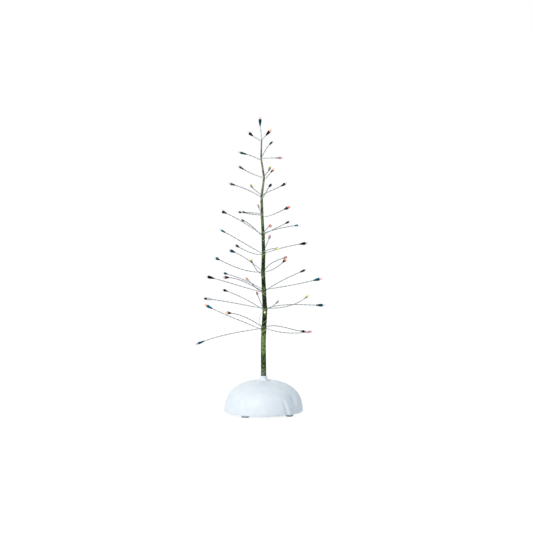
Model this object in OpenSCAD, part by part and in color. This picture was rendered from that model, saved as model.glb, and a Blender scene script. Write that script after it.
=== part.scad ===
// Lighted miniature tree: a bare tree of twisted lamp leads taped round a wire stem,
// standing on a hollow snow-mound base that holds two AA cells and a slide switch.
// Millimetres. +Z is up, Z = 0 is the floor under the feet, the trunk rises on the Z axis
// and the pictured side faces -Y.

/* [Cells] */
// Diameter of one AA cell
cell_d = 14.5; // [10:0.1:18]
// Length of one AA cell over its terminals
cell_len = 50.5; // [44:0.1:60]
// Diameter of the raised terminal
nub_d = 5.5; // [4:0.1:7]
// Height of the raised terminal
nub_h = 1.3; // [0.8:0.1:2]

/* [Battery case] */
// Space between a cell and the case wall
cell_clear = 0.4; // [0.2:0.05:1]
// Space between the two cells
cell_gap = 0.5; // [0.2:0.1:2]
// Wall of the battery case
case_wall = 1.2; // [0.8:0.1:2]
// Room for a contact spring between a cell and its contact
spring_room = 4.5; // [3.8:0.1:7]
// Thickness of the contact strips
contact_t = 0.5; // [0.3:0.05:0.8]
// Width of a contact pad
contact_w = 8; // [6:0.5:9]
// Wire diameter of a contact spring
spring_wire_d = 0.6; // [0.4:0.05:0.7]
// Mean coil diameter of a contact spring where it leaves its contact
spring_wide_d = 8.4; // [7:0.2:9]
// Mean coil diameter of a contact spring where it meets the cell
spring_narrow_d = 5.6; // [5:0.2:6.6]

/* [Base plate and door] */
// Thickness of the plate that closes the base
plate_t = 2.4; // [2.2:0.1:4]
// Depth of the plate above the rim of the mound
plate_recess = 0.8; // [0.3:0.1:2]
// Thickness of the battery door
door_t = 2; // [1.6:0.1:2.2]
// Ledge left under each end of the cells
door_ledge = 2; // [1:0.1:3]
// Space round the door
door_clear = 0.3; // [0.2:0.05:0.5]
// Diameter of the door's two hinge pins
hinge_pin_d = 1.2; // [0.8:0.1:1.4]
// Length of each hinge pin in the plate
hinge_pin_len = 1.6; // [1:0.1:2.5]
// Length of the spring tab that holds the door shut
tab_len = 9; // [6:0.5:14]
// Width of the spring tab
tab_w = 9; // [6:0.5:14]
// Width of the slits beside the tab
tab_slit = 0.8; // [0.5:0.1:1.5]
// Number of grip ribs on the tab
grip_ribs = 4; // [2:1:5]

/* [Screws and feet] */
// Shank diameter of the case screws
screw_d = 2.4; // [2:0.1:3]
// Head diameter of the case screws
screw_head_d = 4.6; // [4:0.1:5.4]
// Head height of the case screws
screw_head_h = 1.3; // [1:0.1:1.6]
// Depth of screw in a boss
screw_grip = 6; // [4:0.5:8]
// Outside diameter of the screw bosses
boss_d = 5.4; // [4.8:0.1:6.4]
// Height of the rim of the mound above the floor
rim_lift = 2.8; // [1.5:0.1:6]
// Diameter of a foot pad
foot_d = 8; // [5:0.5:8.5]
// Turn of the base about the trunk
base_turn = 10; // [0:1:45]

/* [Snow mound] */
// Wall of the mound
shell_wall = 2.2; // [1.8:0.1:3]
// Room between the battery case and the wall of the mound
shell_room = 4.3; // [4:0.1:12]
// Room between the battery case and the top of the mound
head_room = 9.9; // [9:0.1:20]
// Fullness of the mound's outline, 2 being a plain ellipse
mound_full = 2.35; // [2.2:0.05:3]
// Depth of the deepest drift in the mound's surface
drift_depth = 1.2; // [0:0.1:1.4]
// Height of the collar above the mound
collar_h = 4.1; // [2:0.1:10]
// Diameter of the collar at its upper edge
collar_top_d = 7.6; // [6.6:0.1:9]
// Diameter of the collar at the mound
collar_low_d = 8.2; // [7.6:0.1:11]
// Depth of the stem socket below the top of the mound
socket_depth = 6.5; // [4:0.1:7.5]

/* [Slide switch] */
// Travel of the switch slider
switch_travel = 3; // [2:0.1:4]
// Length of the slider's finger piece
knob_len = 3.2; // [2.5:0.1:5]
// Width of the slider's finger piece
knob_w = 2; // [1.5:0.1:3]
// Height of the finger piece below the plate
knob_drop = 1.7; // [1:0.1:2]
// Space between the slider and the parts round it
slide_clear = 0.3; // [0.2:0.05:0.5]

/* [Stem] */
// Height of the lowest whorl above the floor
first_tier_z = 86.5; // [60:0.5:120]
// Height from one whorl to the next
tier_pitch = 19; // [15:0.5:25]
// Diameter of the taped stem in the collar
stem_foot_d = 5.2; // [4.6:0.1:5.6]
// Diameter of the taped stem at the lowest whorl
stem_low_d = 4.7; // [4:0.1:5.2]
// Diameter of the taped stem at its top
stem_top_d = 1.3; // [1.2:0.1:2]
// Thickness of the tape
tape_t = 0.3; // [0.2:0.05:0.4]
// Diameter of the wire rod in the stem
rod_d = 1.2; // [0.8:0.1:1.4]
// Number of whorls that the rod reaches
rod_tiers = 8; // [3:1:8]

/* [Branches and lamps] */
// Diameter over one twisted pair of lamp leads
pair_d = 0.9; // [0.7:0.05:1.2]
// Height between neighbouring branches of one whorl where they leave the stem
root_step = 1.5; // [1.3:0.1:2.5]
// Length of the longest sleeve round a lamp
sleeve_len = 6.5; // [5:0.1:8]
// Largest diameter of the fullest sleeve
sleeve_d = 3.1; // [2.8:0.1:3.6]
// Length of lead inside a sleeve
sleeve_grip = 1.5; // [1:0.1:2.5]
// Diameter of the lamp in the fullest sleeve
bulb_d = 2.3; // [1.4:0.1:2.6]
// Length of a lamp outside its sleeve
bulb_out = 2.8; // [1.5:0.1:4]

/* [Leads in the base] */
// Diameter of an insulated lead
lead_d = 1.2; // [0.8:0.1:1.4]

/* [Hidden] */
$fn = 48;
// Gap between faces that are seated on each other
seat = 0.05;

// Lamp tints
PINK = "pink";
RED = "red";
ORANGE = "orange";
YELLOW = "yellow";
CLEAR = "clear";
GREEN = "green";
// Sleeve tints
BLACK = "black";
TEAL = "teal";
PALE = "pale";

// One list per whorl from the lowest up. Each lamp is: direction in plan, reach and rise of
// the lamp's tip, slope where it leaves the stem, slope at the lamp, lamp tint, sleeve tint,
// length of the sleeve as a share of the longest, girth of sleeve and lamp as a share of the fullest.
WHORLS = [
    [
        [-135, 53.5, 19.5, 30, 8, ORANGE, BLACK, 0.7, 1],
        [-169, 70, -15, -8, -20, PINK, TEAL, 1, 0.78],
        [160, 64.5, 22, 22, 24, ORANGE, TEAL, 1, 1],
        [38, 55, -7, 8, -8, ORANGE, BLACK, 0.6, 0.85],
        [-27, 54, -0.5, -16, 10, PINK, PALE, 0.75, 0.85]
    ],
    [
        [14, 63, 3, 16, -2, CLEAR, TEAL, 1, 1],
        [73, 48, 5, -4, 12, CLEAR, PALE, 0.8, 0.85],
        [100, 50, 13.5, 14, 18, RED, PALE, 0.6, 0.85],
        [-167, 62.5, 12.5, 10, 8, GREEN, PALE, 0.85, 1],
        [141, 57, 17.5, 24, 12, PINK, BLACK, 0.7, 0.85],
        [-90, 50, 2, 4, 5, YELLOW, BLACK, 0.7, 0.95],
        [-36, 54.5, 18, 2, 36, YELLOW, PALE, 0.6, 0.75]
    ],
    [
        [-13, 60, 13.5, 8, 14, PINK, TEAL, 1, 1],
        [-142, 52, 16, 24, 5, PINK, BLACK, 0.8, 1],
        [170, 60.5, 14, 14, 14, CLEAR, BLACK, 1, 1],
        [139, 56.5, 15.5, 22, 9, CLEAR, TEAL, 0.6, 0.8],
        [40, 57, 19, 27, 16, CLEAR, BLACK, 0.9, 0.8],
        [-113, 46.5, 16.5, 10, 24, ORANGE, PALE, 0.7, 0.75]
    ],
    [
        [139, 46.5, 20.5, 30, 15, PINK, TEAL, 0.85, 1],
        [-166, 51, 16, -2, 27, CLEAR, TEAL, 0.65, 1],
        [-107, 43, 15.5, 0, 32, YELLOW, BLACK, 0.6, 0.85],
        [60, 49, 12.5, 32, 6, RED, PALE, 0.6, 0.9],
        [-60, 46, 16, 8, 30, ORANGE, BLACK, 0.75, 0.95]
    ],
    [
        [-69, 41, 6.5, 14, 0, YELLOW, PALE, 0.6, 1],
        [-161, 47, 25, 28, 28, CLEAR, TEAL, 0.7, 0.7],
        [134, 42.5, 7, -4, 20, PINK, BLACK, 0.6, 0.95],
        [80, 38, 16, 24, 25, RED, PALE, 0.6, 0.95],
        [19, 47.5, 9.5, 18, 7, CLEAR, BLACK, 0.9, 1]
    ],
    [
        [-77, 36, 10, 14, 5, RED, PALE, 0.6, 1],
        [166, 45, 23.5, 34, 23, CLEAR, BLACK, 0.7, 1],
        [-128, 37.5, 16, 30, 14, CLEAR, BLACK, 0.65, 0.75],
        [-25, 41.5, 10, 18, 7, CLEAR, TEAL, 0.6, 0.7],
        [48, 41, 12, 18, 18, CLEAR, BLACK, 0.65, 0.8]
    ],
    [
        [100, 26, 10.5, 15, 25, ORANGE, PALE, 0.6, 0.7],
        [-132, 31.5, 5, 8, 16, CLEAR, BLACK, 0.6, 0.75],
        [-28, 31.5, 9, 4, 22, RED, BLACK, 0.65, 1],
        [141, 32.5, 2.5, 6, 0, CLEAR, BLACK, 0.6, 0.75]
    ],
    [
        [116, 28, 12, 22, 30, YELLOW, PALE, 0.6, 0.8],
        [-165, 35, 13.5, 30, 16, CLEAR, BLACK, 0.75, 0.8],
        [-70, 28, 12.5, 14, 22, GREEN, TEAL, 0.6, 0.9],
        [34, 30.5, 13.5, 28, 26, PINK, TEAL, 0.7, 0.9]
    ],
    [
        [72, 22, 11, 18, 35, YELLOW, PALE, 0.7, 0.85],
        [162, 28.5, 12, 12, 30, CLEAR, BLACK, 0.75, 0.8],
        [-61, 21.5, 9, 18, 28, ORANGE, BLACK, 0.65, 0.75]
    ],
    [
        [54, 20.5, 17.5, 50, 30, PINK, TEAL, 0.6, 0.7],
        [-27, 25, 0.5, 3, 0, PINK, PALE, 0.7, 0.75],
        [-158, 25.5, 6.5, 28, 14, CLEAR, TEAL, 1, 0.7]
    ],
    [
        [180, 1.5, 23, 88, 90, PINK, TEAL, 1, 0.95],
        [-41, 13, 10, 40, 40, ORANGE, BLACK, 1, 1],
        [156, 15.5, 8, 36, 38, CLEAR, BLACK, 0.7, 1]
    ]
];
// Sideways bend of the stem at each whorl, to the right and to the back
BENDS = [
    [0.3, 0.5], [1.4, -0.5], [0.3, 1], [-0.5, 0], [0, -1], [-0.5, 0.5],
    [-1.5, 1], [-2, -0.5], [0.5, 0.5], [-2.5, 1], [-2, 0]
];
// Drifts in the mound's surface: direction in plan at the rim, half-width in degrees,
// depth as a share of the deepest drift, lean in degrees from the rim to the top
DRIFTS = [
    [-52, 5, 0.9, 12], [-46, 4, -0.4, 12], [-35, 12, 1.1, 8], [-14, 8, 0.3, 0], [14, 12, 0.7, -10],
    [52, 9, 0.5, 8], [85, 14, 0.8, -6], [128, 8, 0.6, 12], [168, 12, 0.4, 0], [212, 10, 0.25, 8]
];

// Heights
plate_z = rim_lift + plate_recess;
plate_top = plate_z + plate_t;
cell_z = plate_top + 2 * seat + cell_d / 2;
case_in_r = cell_d / 2 + cell_clear;
case_r = case_in_r + case_wall;
case_top = cell_z + case_r;
mound_top = case_top + head_room + shell_wall;
mound_h = mound_top - rim_lift;
collar_top = mound_top + collar_h;
socket_low = mound_top - socket_depth;

// Plan of the battery case
cell_y = (cell_d + cell_gap) / 2;
case_in_x = (cell_len + spring_room + 2 * contact_t) / 2;
case_x = case_in_x + case_wall;
case_in_y = cell_y + case_in_r;
case_y = case_in_y + case_wall;
open_x = case_in_x - door_ledge;
base_r = norm([case_x, case_y]) + shell_wall + shell_room;
cavity_r = base_r - shell_wall;
cavity_h = mound_h - shell_wall;
plate_gap = 0.3;
plate_r = cavity_edge(plate_top) - plate_gap;
screw_ring = plate_r - boss_d / 2 - 1.4;
foot_ring = plate_r - foot_d / 2 - 1.8;
boss_top = rim_lift + outline(screw_ring + boss_d / 2, cavity_r, cavity_h) + 2.5;

// Door and its hinge
hinge_x = open_x - door_clear - door_t / 2;
hinge_z = plate_z + door_t / 2;
door_half = case_in_y - door_clear;
hinge_play = 0.1;

// Contacts
contact_low = plate_top + 1;
contact_high = cell_z + contact_w / 2;
tab_out = 2;
tab_z = cell_z + 2.6;
strip_w = 3;

// Switch
carrier_len = knob_len + 1.2;
carrier_w = knob_w + 1;
carrier_h = 1.8;
switch_wall = 1.3;
switch_y = -(case_y + slide_clear + carrier_w / 2 + switch_wall + 3);
switch_in_x = (carrier_len + switch_travel) / 2 + slide_clear;
switch_in_y = carrier_w / 2 + slide_clear;
switch_x = switch_in_x + switch_wall;
switch_half_y = switch_in_y + switch_wall;
switch_in_h = carrier_h + 2 * slide_clear;
switch_h = switch_in_h + 1.6;
pin_x = 3;
pin_h = 2;

// Stem
tiers = len(WHORLS);
stem_top = tier_z(tiers - 1) + root_step;
tape_low = socket_low - 0.8;
core_low = tape_low - 0.9;
rod_top = tier_z(rod_tiers - 1);
STEM_LEVELS = concat(
    [collar_top + 1, (collar_top + first_tier_z) / 2],
    [for (k = [0 : tiers - 2]) each [tier_z(k), tier_z(k) + tier_pitch / 2]],
    [tier_z(tiers - 1), stem_top]
);
ROD_LEVELS = concat(
    [collar_top + 1, (collar_top + first_tier_z) / 2],
    [for (k = [0 : rod_tiers - 2]) each [tier_z(k), tier_z(k) + tier_pitch / 2]],
    [rod_top]
);
STEM_X = concat([[0, 0], [collar_top, 0]], [for (k = [0 : tiers - 1]) [tier_z(k), BENDS[k][0]]]);
STEM_Y = concat([[0, 0], [collar_top, 0]], [for (k = [0 : tiers - 1]) [tier_z(k), BENDS[k][1]]]);
STEM_D = [
    [0, stem_foot_d], [collar_top + 1, stem_foot_d], [first_tier_z, stem_low_d], [stem_top, stem_top_d]
];

// Lamps
pair_room = 0.15;

function tier_z(k) = first_tier_z + tier_pitch * k;
function stem_mid(z) = [lookup(z, STEM_X), lookup(z, STEM_Y), z];
function stem_r(z) = lookup(z, STEM_D) / 2;
function mouth(w) = sleeve_len * w[7] - sleeve_grip;
function lamp_len(w) = mouth(w) + bulb_out;
function outline(r, width, height) = height * pow(1 - pow(r / width, mound_full), 1 / mound_full);
function cavity_edge(z) =
    cavity_r * pow(1 - pow((z - rim_lift) / cavity_h, mound_full), 1 / mound_full);
function unit(v) = v / norm(v);
function wrap(a) = (a + 900) % 360 - 180;

// Rings and lofts
function flat_ring(mid, r, sides) =
    [for (j = [0 : sides - 1]) mid + r * [cos(360 * j / sides), sin(360 * j / sides), 0]];
function tilted_ring(mid, along, side, r, sides) =
    let (u = unit(side - (side * along) * along))
    let (v = cross(along, u))
    [for (j = [0 : sides - 1]) mid + r * (cos(360 * j / sides) * u + sin(360 * j / sides) * v)];
function heading(path, i) =
    unit(unit(path[min(i + 1, len(path) - 1)] - path[min(i, len(path) - 2)])
        + unit(path[max(i, 1)] - path[max(i - 1, 0)]));
function tube_rings(path, sides_of, r, sides) =
    [for (i = [0 : len(path) - 1]) tilted_ring(path[i], heading(path, i), sides_of[i], r, sides)];

// A solid through a list of rings, capped at both ends or closed on itself
module loft(rings, closed = false) {
    n = len(rings[0]);
    m = len(rings);
    last = (m - 1) * n;
    sides = [
        for (i = [0 : closed ? m - 1 : m - 2])
        for (j = [0 : n - 1])
        let (a = i * n + j)
        let (b = i * n + (j + 1) % n)
        let (c = ((i + 1) % m) * n + (j + 1) % n)
        let (d = ((i + 1) % m) * n + j)
        each [[a, d, c], [a, c, b]]
    ];
    caps = closed ? [] : [
        for (j = [1 : n - 2])
        each [[0, j, j + 1], [last, last + j + 1, last + j]]
    ];
    polyhedron([for (ring = rings) each ring], concat(sides, caps), convexity = 6);
}

// A round tube along a smooth path through a few points
function catmull(p, i, u) =
    let (a = p[max(i - 1, 0)])
    let (b = p[i])
    let (c = p[i + 1])
    let (d = p[min(i + 2, len(p) - 1)])
    0.5 * (2 * b + (c - a) * u + (2 * a - 5 * b + 4 * c - d) * u * u
        + (3 * b - a - 3 * c + d) * u * u * u);
function smooth(p, steps) = concat(
    [for (i = [0 : len(p) - 2]) for (s = [0 : steps - 1]) catmull(p, i, s / steps)],
    [p[len(p) - 1]]
);
module wire(points, d) {
    path = smooth(points, 3);
    side = [0.31, 0.17, 0.93];
    loft(tube_rings(path, [for (p = path) side], d / 2, 6));
}

// Snow mound
function drift(az, lift) =
    let (shares = [
        for (w = DRIFTS)
        w[2] * exp(-pow(wrap(az - w[0] + w[3] * lift) / w[1], 2))
    ])
    drift_depth * (shares * [for (s = shares) 1]);
function mound_point(az, t) =
    let (lift = pow(sin(t), 2 / mound_full))
    let (r = base_r * pow(cos(t), 2 / mound_full) - drift(az, lift) * pow(cos(t), 3))
    let (dip = 1.1 * exp(-pow((r * cos(az) - 6.5) / 2.4, 2) - pow(r * sin(az) / 9, 2)))
    [r * cos(az), r * sin(az), rim_lift + mound_h * lift - dip];
module mound() {
    steps = [0, 6, 12, 19, 26, 33, 40, 47, 54, 61, 67, 73, 78, 82, 85.5];
    loft([for (t = steps) [for (a = [0 : 5 : 355]) mound_point(a, t)]]);
}
module cavity() {
    steps = [0 : 6 : 90];
    edge = [
        for (t = steps)
        [cavity_r * pow(cos(t), 2 / mound_full), rim_lift + cavity_h * pow(sin(t), 2 / mound_full)]
    ];
    rotate_extrude()
        polygon(concat([[0, rim_lift - 1], [cavity_r, rim_lift - 1]], edge));
}
module at_screws() {
    for (a = [0 : 90 : 270])
        rotate([0, 0, a])
            translate([screw_ring, 0, 0])
                children();
}

module base_shell() {
    color([0.92, 0.95, 0.98])
        difference() {
            union() {
                difference() {
                    mound();
                    cavity();
                }
                translate([0, 0, mound_top - 1.5])
                    cylinder(d1 = collar_low_d, d2 = collar_top_d, h = collar_h + 1.5);
                translate([0, 0, socket_low])
                    cylinder(d = collar_low_d, h = socket_depth - 1);
                rotate([0, 0, base_turn])
                    at_screws()
                        translate([0, 0, plate_top + seat])
                            cylinder(d = boss_d, h = boss_top - plate_top - seat);
            }
            translate([0, 0, socket_low - 1])
                cylinder(d = stem_foot_d + 4 * seat, h = socket_depth + collar_h + 2);
            rotate([0, 0, base_turn])
                at_screws()
                    translate([0, 0, plate_top - 1])
                        cylinder(d = screw_d + 2 * seat, h = screw_grip + 2);
        }
}

// Battery case: two half-barrels over straight walls
module case_block(x, y, r, low) {
    for (s = [-1, 1])
        translate([-x, s * cell_y, cell_z])
            rotate([0, 90, 0])
                cylinder(r = r, h = 2 * x);
    translate([-x, -y, low])
        cube([2 * x, 2 * y, cell_z - low]);
}

module base_plate() {
    color([0.86, 0.89, 0.92])
        rotate([0, 0, base_turn])
            difference() {
                union() {
                    translate([0, 0, plate_z])
                        cylinder(r = plate_r, h = plate_t);
                    case_block(case_x, case_y, case_r, plate_top - 0.5);
                }
                case_block(case_in_x, case_in_y, case_in_r, plate_top);
                // Door opening, its hinge holes and the finger scoop
                translate([-open_x, -case_in_y, plate_z - 1])
                    cube([2 * open_x, 2 * case_in_y, plate_t + 2]);
                translate([hinge_x, 0, hinge_z])
                    rotate([90, 0, 0])
                        cylinder(
                            d = hinge_pin_d + 2 * hinge_play,
                            h = 2 * (case_in_y + hinge_pin_len),
                            center = true
                        );
                translate([-open_x, 0, plate_z - 3.4])
                    sphere(r = 5);
                // Slots for the contact strips
                for (s = [-1, 1])
                    translate([-case_x - 1, s * cell_y - strip_w / 2 - 0.2, tab_z - 0.2])
                        cube([case_wall + 2, strip_w + 0.4, contact_t + 0.4]);
                // Screw holes with recessed heads
                at_screws() {
                    translate([0, 0, plate_z - 1])
                        cylinder(d = screw_d + 0.4, h = plate_t + 2);
                    translate([0, 0, plate_z - 1])
                        cylinder(d = screw_head_d + 0.5, h = 1 + screw_head_h - 0.1);
                }
                // Switch slot
                translate([0, switch_y, plate_top])
                    cube(
                        [
                            knob_len + switch_travel + 2 * slide_clear,
                            knob_w + 2 * slide_clear,
                            3 * plate_t
                        ],
                        center = true
                    );
            }
}

module battery_door() {
    tab_x = -open_x + door_clear;
    color([0.86, 0.89, 0.92])
        rotate([0, 0, base_turn])
            union() {
                difference() {
                    union() {
                        translate([tab_x, -door_half, plate_z])
                            cube([hinge_x - tab_x, 2 * door_half, door_t]);
                        translate([hinge_x, 0, hinge_z])
                            rotate([90, 0, 0])
                                cylinder(d = door_t - 2 * seat, h = 2 * door_half, center = true);
                    }
                    for (s = [-1, 1])
                        translate([tab_x - 1, s * (tab_w + tab_slit) / 2 - tab_slit / 2, plate_z - 1])
                            cube([tab_len + 1, tab_slit, door_t + 2]);
                    translate([tab_x + tab_len - 1.6, -tab_w / 2 - tab_slit / 2, plate_z + door_t / 2])
                        cube([1.2, tab_w + tab_slit, door_t]);
                    // Raised border round the outside face
                    translate([tab_x + tab_len + 4, -door_half + 3, plate_z - 1])
                        cube([hinge_x - tab_x - tab_len - 8, 2 * door_half - 6, 1.3]);
                }
                for (s = [-1, 1])
                    translate([hinge_x, s * (door_half - 0.5), hinge_z])
                        rotate([-90 * s, 0, 0])
                            cylinder(d = hinge_pin_d, h = 0.5 + door_clear + hinge_pin_len - 0.2);
                for (i = [0 : grip_ribs - 1])
                    translate([tab_x + 2 + i * (tab_len - 4) / (grip_ribs - 1), 0, plate_z])
                        rotate([90, 0, 0])
                            cylinder(d = 0.8, h = tab_w - 2, center = true, $fn = 24);
            }
}

module foot_pads() {
    color([0.5, 0.54, 0.56])
        rotate([0, 0, base_turn])
            for (a = [45 : 90 : 315])
                rotate([0, 0, a])
                    translate([foot_ring, 0, 0])
                        rotate_extrude()
                            polygon([
                                [0, 0],
                                [foot_d / 2 - 0.8, 0],
                                [foot_d / 2 - 0.25, 0.25],
                                [foot_d / 2, 0.9],
                                [foot_d / 2, plate_z - seat],
                                [0, plate_z - seat]
                            ]);
}

module case_screws() {
    head_low = plate_z + screw_head_h - 0.1 - seat - screw_head_h;
    color([0.62, 0.63, 0.65])
        rotate([0, 0, base_turn])
            at_screws()
                difference() {
                    union() {
                        translate([0, 0, head_low])
                            cylinder(d1 = screw_head_d - 0.8, d2 = screw_head_d, h = screw_head_h);
                        translate([0, 0, head_low + screw_head_h - 0.1])
                            cylinder(d = screw_d, h = plate_top + screw_grip - head_low - screw_head_h);
                    }
                    // Cross recess
                    for (a = [0, 90])
                        rotate([0, 0, a])
                            translate([-1.2, -0.25, head_low - 1])
                                cube([2.4, 0.5, 1.7]);
                }
}

// One cell lying on X with its raised terminal towards -X, tip at x = 0
module cell() {
    edge = 0.4;
    r = cell_d / 2;
    rotate([0, 90, 0])
        rotate_extrude()
            polygon([
                [0, 0],
                [nub_d / 2 - 0.2, 0],
                [nub_d / 2, 0.2],
                [nub_d / 2, nub_h],
                [r - edge, nub_h],
                [r, nub_h + edge],
                [r, cell_len - edge],
                [r - edge, cell_len],
                [r - 1.2, cell_len],
                [r - 1.4, cell_len - 0.2],
                [0, cell_len - 0.2]
            ]);
}
cell_start = case_in_x - contact_t - 2 * seat;
module battery_front() {
    color([0.45, 0.55, 0.62])
        rotate([0, 0, base_turn])
            translate([-cell_start, -cell_y, cell_z])
                cell();
}
module battery_rear() {
    color([0.45, 0.55, 0.62])
        rotate([0, 0, base_turn])
            translate([cell_start, cell_y, cell_z])
                rotate([0, 0, 180])
                    cell();
}

// Contact pad against an end wall of the case, at x = 0 on the wall's side
module contact_pad(y) {
    translate([0, y - contact_w / 2, contact_low])
        cube([contact_t, contact_w, contact_high - contact_low]);
}
module bridge_contact() {
    color([0.75, 0.75, 0.72])
        rotate([0, 0, base_turn])
            translate([case_in_x - seat - contact_t, 0, 0]) {
                contact_pad(cell_y);
                contact_pad(-cell_y);
                translate([0, -cell_y, contact_low])
                    cube([contact_t, 2 * cell_y, 4]);
            }
}
module end_contact(y) {
    translate([-case_in_x + seat, 0, 0]) {
        contact_pad(y);
        translate([-case_wall - tab_out, y - strip_w / 2, tab_z])
            cube([case_wall + tab_out + contact_t, strip_w, contact_t]);
    }
}
module positive_contact() {
    color([0.75, 0.75, 0.72])
        rotate([0, 0, base_turn])
            end_contact(-cell_y);
}
module negative_contact() {
    color([0.75, 0.75, 0.72])
        rotate([0, 0, base_turn])
            end_contact(cell_y);
}

// Contact springs: one unbroken cone of wire with a straight end at each face
spring_turns = 2.5;
spring_steps = 8 * spring_turns;
spring_len = spring_room - 5 * seat;
spring_rise = spring_len - 2 * spring_wire_d;
function spring_at(i) =
    let (u = i / spring_steps)
    let (r = (spring_wide_d * (1 - u) + spring_narrow_d * u) / 2)
    let (a = 360 * spring_turns * u)
    [spring_wire_d + spring_rise * u, r * cos(a), r * sin(a)];
SPRING_PATH = concat(
    [[0, spring_wide_d / 2, 0]],
    [for (i = [0 : spring_steps]) spring_at(i)],
    [[spring_len, spring_at(spring_steps)[1], spring_at(spring_steps)[2]]]
);
SPRING_SIDES = [for (p = SPRING_PATH) [0, p[1], p[2]]];
spring_gap = min([
    for (i = [0 : spring_steps])
    for (j = [i + 5 : 1 : spring_steps])
    norm(spring_at(i) - spring_at(j))
]) - spring_wire_d;
echo(spring_least_gap = spring_gap);
module contact_springs() {
    color([0.7, 0.7, 0.7])
        rotate([0, 0, base_turn]) {
            translate([-case_in_x + contact_t + 2 * seat, cell_y, cell_z])
                loft(tube_rings(SPRING_PATH, SPRING_SIDES, spring_wire_d / 2, 6));
            rotate([0, 0, 180])
                translate([-case_in_x + contact_t + 2 * seat, cell_y, cell_z])
                    loft(tube_rings(SPRING_PATH, SPRING_SIDES, spring_wire_d / 2, 6));
        }
}

module switch_body() {
    color([0.25, 0.26, 0.28])
        rotate([0, 0, base_turn])
            translate([0, switch_y, plate_top + seat])
                difference() {
                    translate([-switch_x, -switch_half_y, 0])
                        cube([2 * switch_x, 2 * switch_half_y, switch_h]);
                    translate([-switch_in_x, -switch_in_y, -1])
                        cube([2 * switch_in_x, 2 * switch_in_y, switch_in_h + 1]);
                }
}
module switch_pins() {
    color([0.75, 0.75, 0.72])
        rotate([0, 0, base_turn])
            for (x = [-pin_x, 0, pin_x])
                translate([x - 0.25, switch_y - 0.8, plate_top + switch_h + 2 * seat])
                    cube([0.5, 1.6, pin_h]);
}
module switch_slider() {
    color([0.16, 0.17, 0.18])
        rotate([0, 0, base_turn])
            translate([-switch_travel / 2, switch_y, 0])
                difference() {
                    union() {
                        translate([-carrier_len / 2, -carrier_w / 2, plate_top + slide_clear])
                            cube([carrier_len, carrier_w, carrier_h]);
                        translate([-knob_len / 2, -knob_w / 2, plate_z - knob_drop])
                            cube([knob_len, knob_w, plate_t + knob_drop + slide_clear + 0.5]);
                    }
                    for (x = [-0.8, 0, 0.8])
                        translate([x - 0.2, -knob_w, plate_z - knob_drop - 1])
                            cube([0.4, 2 * knob_w, 1.4]);
                }
}

// Leads in the base, laid between the case and the mound
strip_top = tab_z + contact_t + seat + lead_d / 2;
strip_mid = -case_x - 0.9;
pin_top = plate_top + switch_h + pin_h + 3 * seat;
over_case = case_top + lead_d / 2 + 1;
valley = cell_z + sqrt(case_r * case_r - cell_y * cell_y) + lead_d / 2;
lead_join = stem_foot_d / 2 - tape_t - lead_d / 2 - 0.4;
module red_lead() {
    color([0.75, 0.1, 0.1])
        rotate([0, 0, base_turn])
            wire([
                [strip_mid, -cell_y + 1.2, strip_top],
                [strip_mid, -cell_y - 3, strip_top - 0.2],
                [strip_mid, -case_y + 1.5, cell_z + 1],
                [-case_x + 0.2, -case_y - 2, cell_z],
                [-case_x + 7, -case_y - 4.5, cell_z],
                [-pin_x - 7, switch_y - 0.8, cell_z + 0.6],
                [-pin_x - 1.2, switch_y, pin_top + 2.4],
                [-pin_x, switch_y, pin_top + 1.2],
                [-pin_x, switch_y, pin_top]
            ], lead_d);
}
module black_lead() {
    color([0.08, 0.08, 0.09])
        rotate([0, 0, base_turn])
            wire([
                [strip_mid, cell_y + 1.2, strip_top],
                [strip_mid, cell_y - 2, strip_top + 0.2],
                [strip_mid - 0.3, 1.4, valley + 1.2],
                [-case_x + 2, 0, valley + 3.4],
                [-case_x + 9, 0, valley + 3],
                [-6, 0, over_case + 0.3],
                [-lead_join, 0, core_low - 1.2],
                [-lead_join, 0, core_low - 3 * seat]
            ], lead_d);
}
module lamp_lead() {
    color([0.75, 0.1, 0.1])
        rotate([0, 0, base_turn])
            wire([
                [pin_x, switch_y, pin_top],
                [pin_x, switch_y, pin_top + 1.2],
                [pin_x + 0.8, switch_y + 1.5, pin_top + 5],
                [pin_x + 0.8, -case_y + 1.5, over_case - 0.4],
                [pin_x + 0.4, -cell_y - 2, over_case + 0.8],
                [lead_join + 0.8, -3, over_case + 0.6],
                [lead_join, 0, core_low - 1.2],
                [lead_join, 0, core_low - 3 * seat]
            ], lead_d);
}

// Stem: rod in the middle, bundle of leads round it, tape outside
function stem_rings(levels, shrink) =
    [for (z = levels) flat_ring(stem_mid(z), stem_r(z) - shrink, 12)];
function rod_rings(levels, grow) =
    [for (z = levels) flat_ring(stem_mid(z), rod_d / 2 + grow, 12)];
function backwards(list) = [for (i = [len(list) - 1 : -1 : 0]) list[i]];
module stem_rod() {
    color([0.55, 0.55, 0.56])
        loft(rod_rings(concat([core_low], ROD_LEVELS), 0));
}
module lead_bundle() {
    bore = rod_rings(concat([core_low], ROD_LEVELS, [rod_top + seat]), seat);
    color([0.62, 0.64, 0.62])
        loft(concat(backwards(bore), stem_rings(concat([core_low], STEM_LEVELS), tape_t + seat)));
}
module stem_tape() {
    outside = stem_rings(concat([tape_low], STEM_LEVELS), 0);
    inside = stem_rings(concat([tape_low], STEM_LEVELS), tape_t);
    color([0.36, 0.43, 0.26])
        loft(concat(outside, backwards(inside)), closed = true);
}
module stem_glue() {
    color([0.85, 0.83, 0.75])
        translate([0, 0, socket_low])
            rotate_extrude()
                polygon([
                    [stem_foot_d / 2 + 2 * seat, -seat],
                    [stem_foot_d / 2 + 2 * seat, -0.8],
                    [stem_foot_d / 2 + 0.6, -0.75],
                    [collar_low_d / 2 - 0.6, -0.5],
                    [collar_low_d / 2 - 0.2, -seat]
                ]);
}

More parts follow.
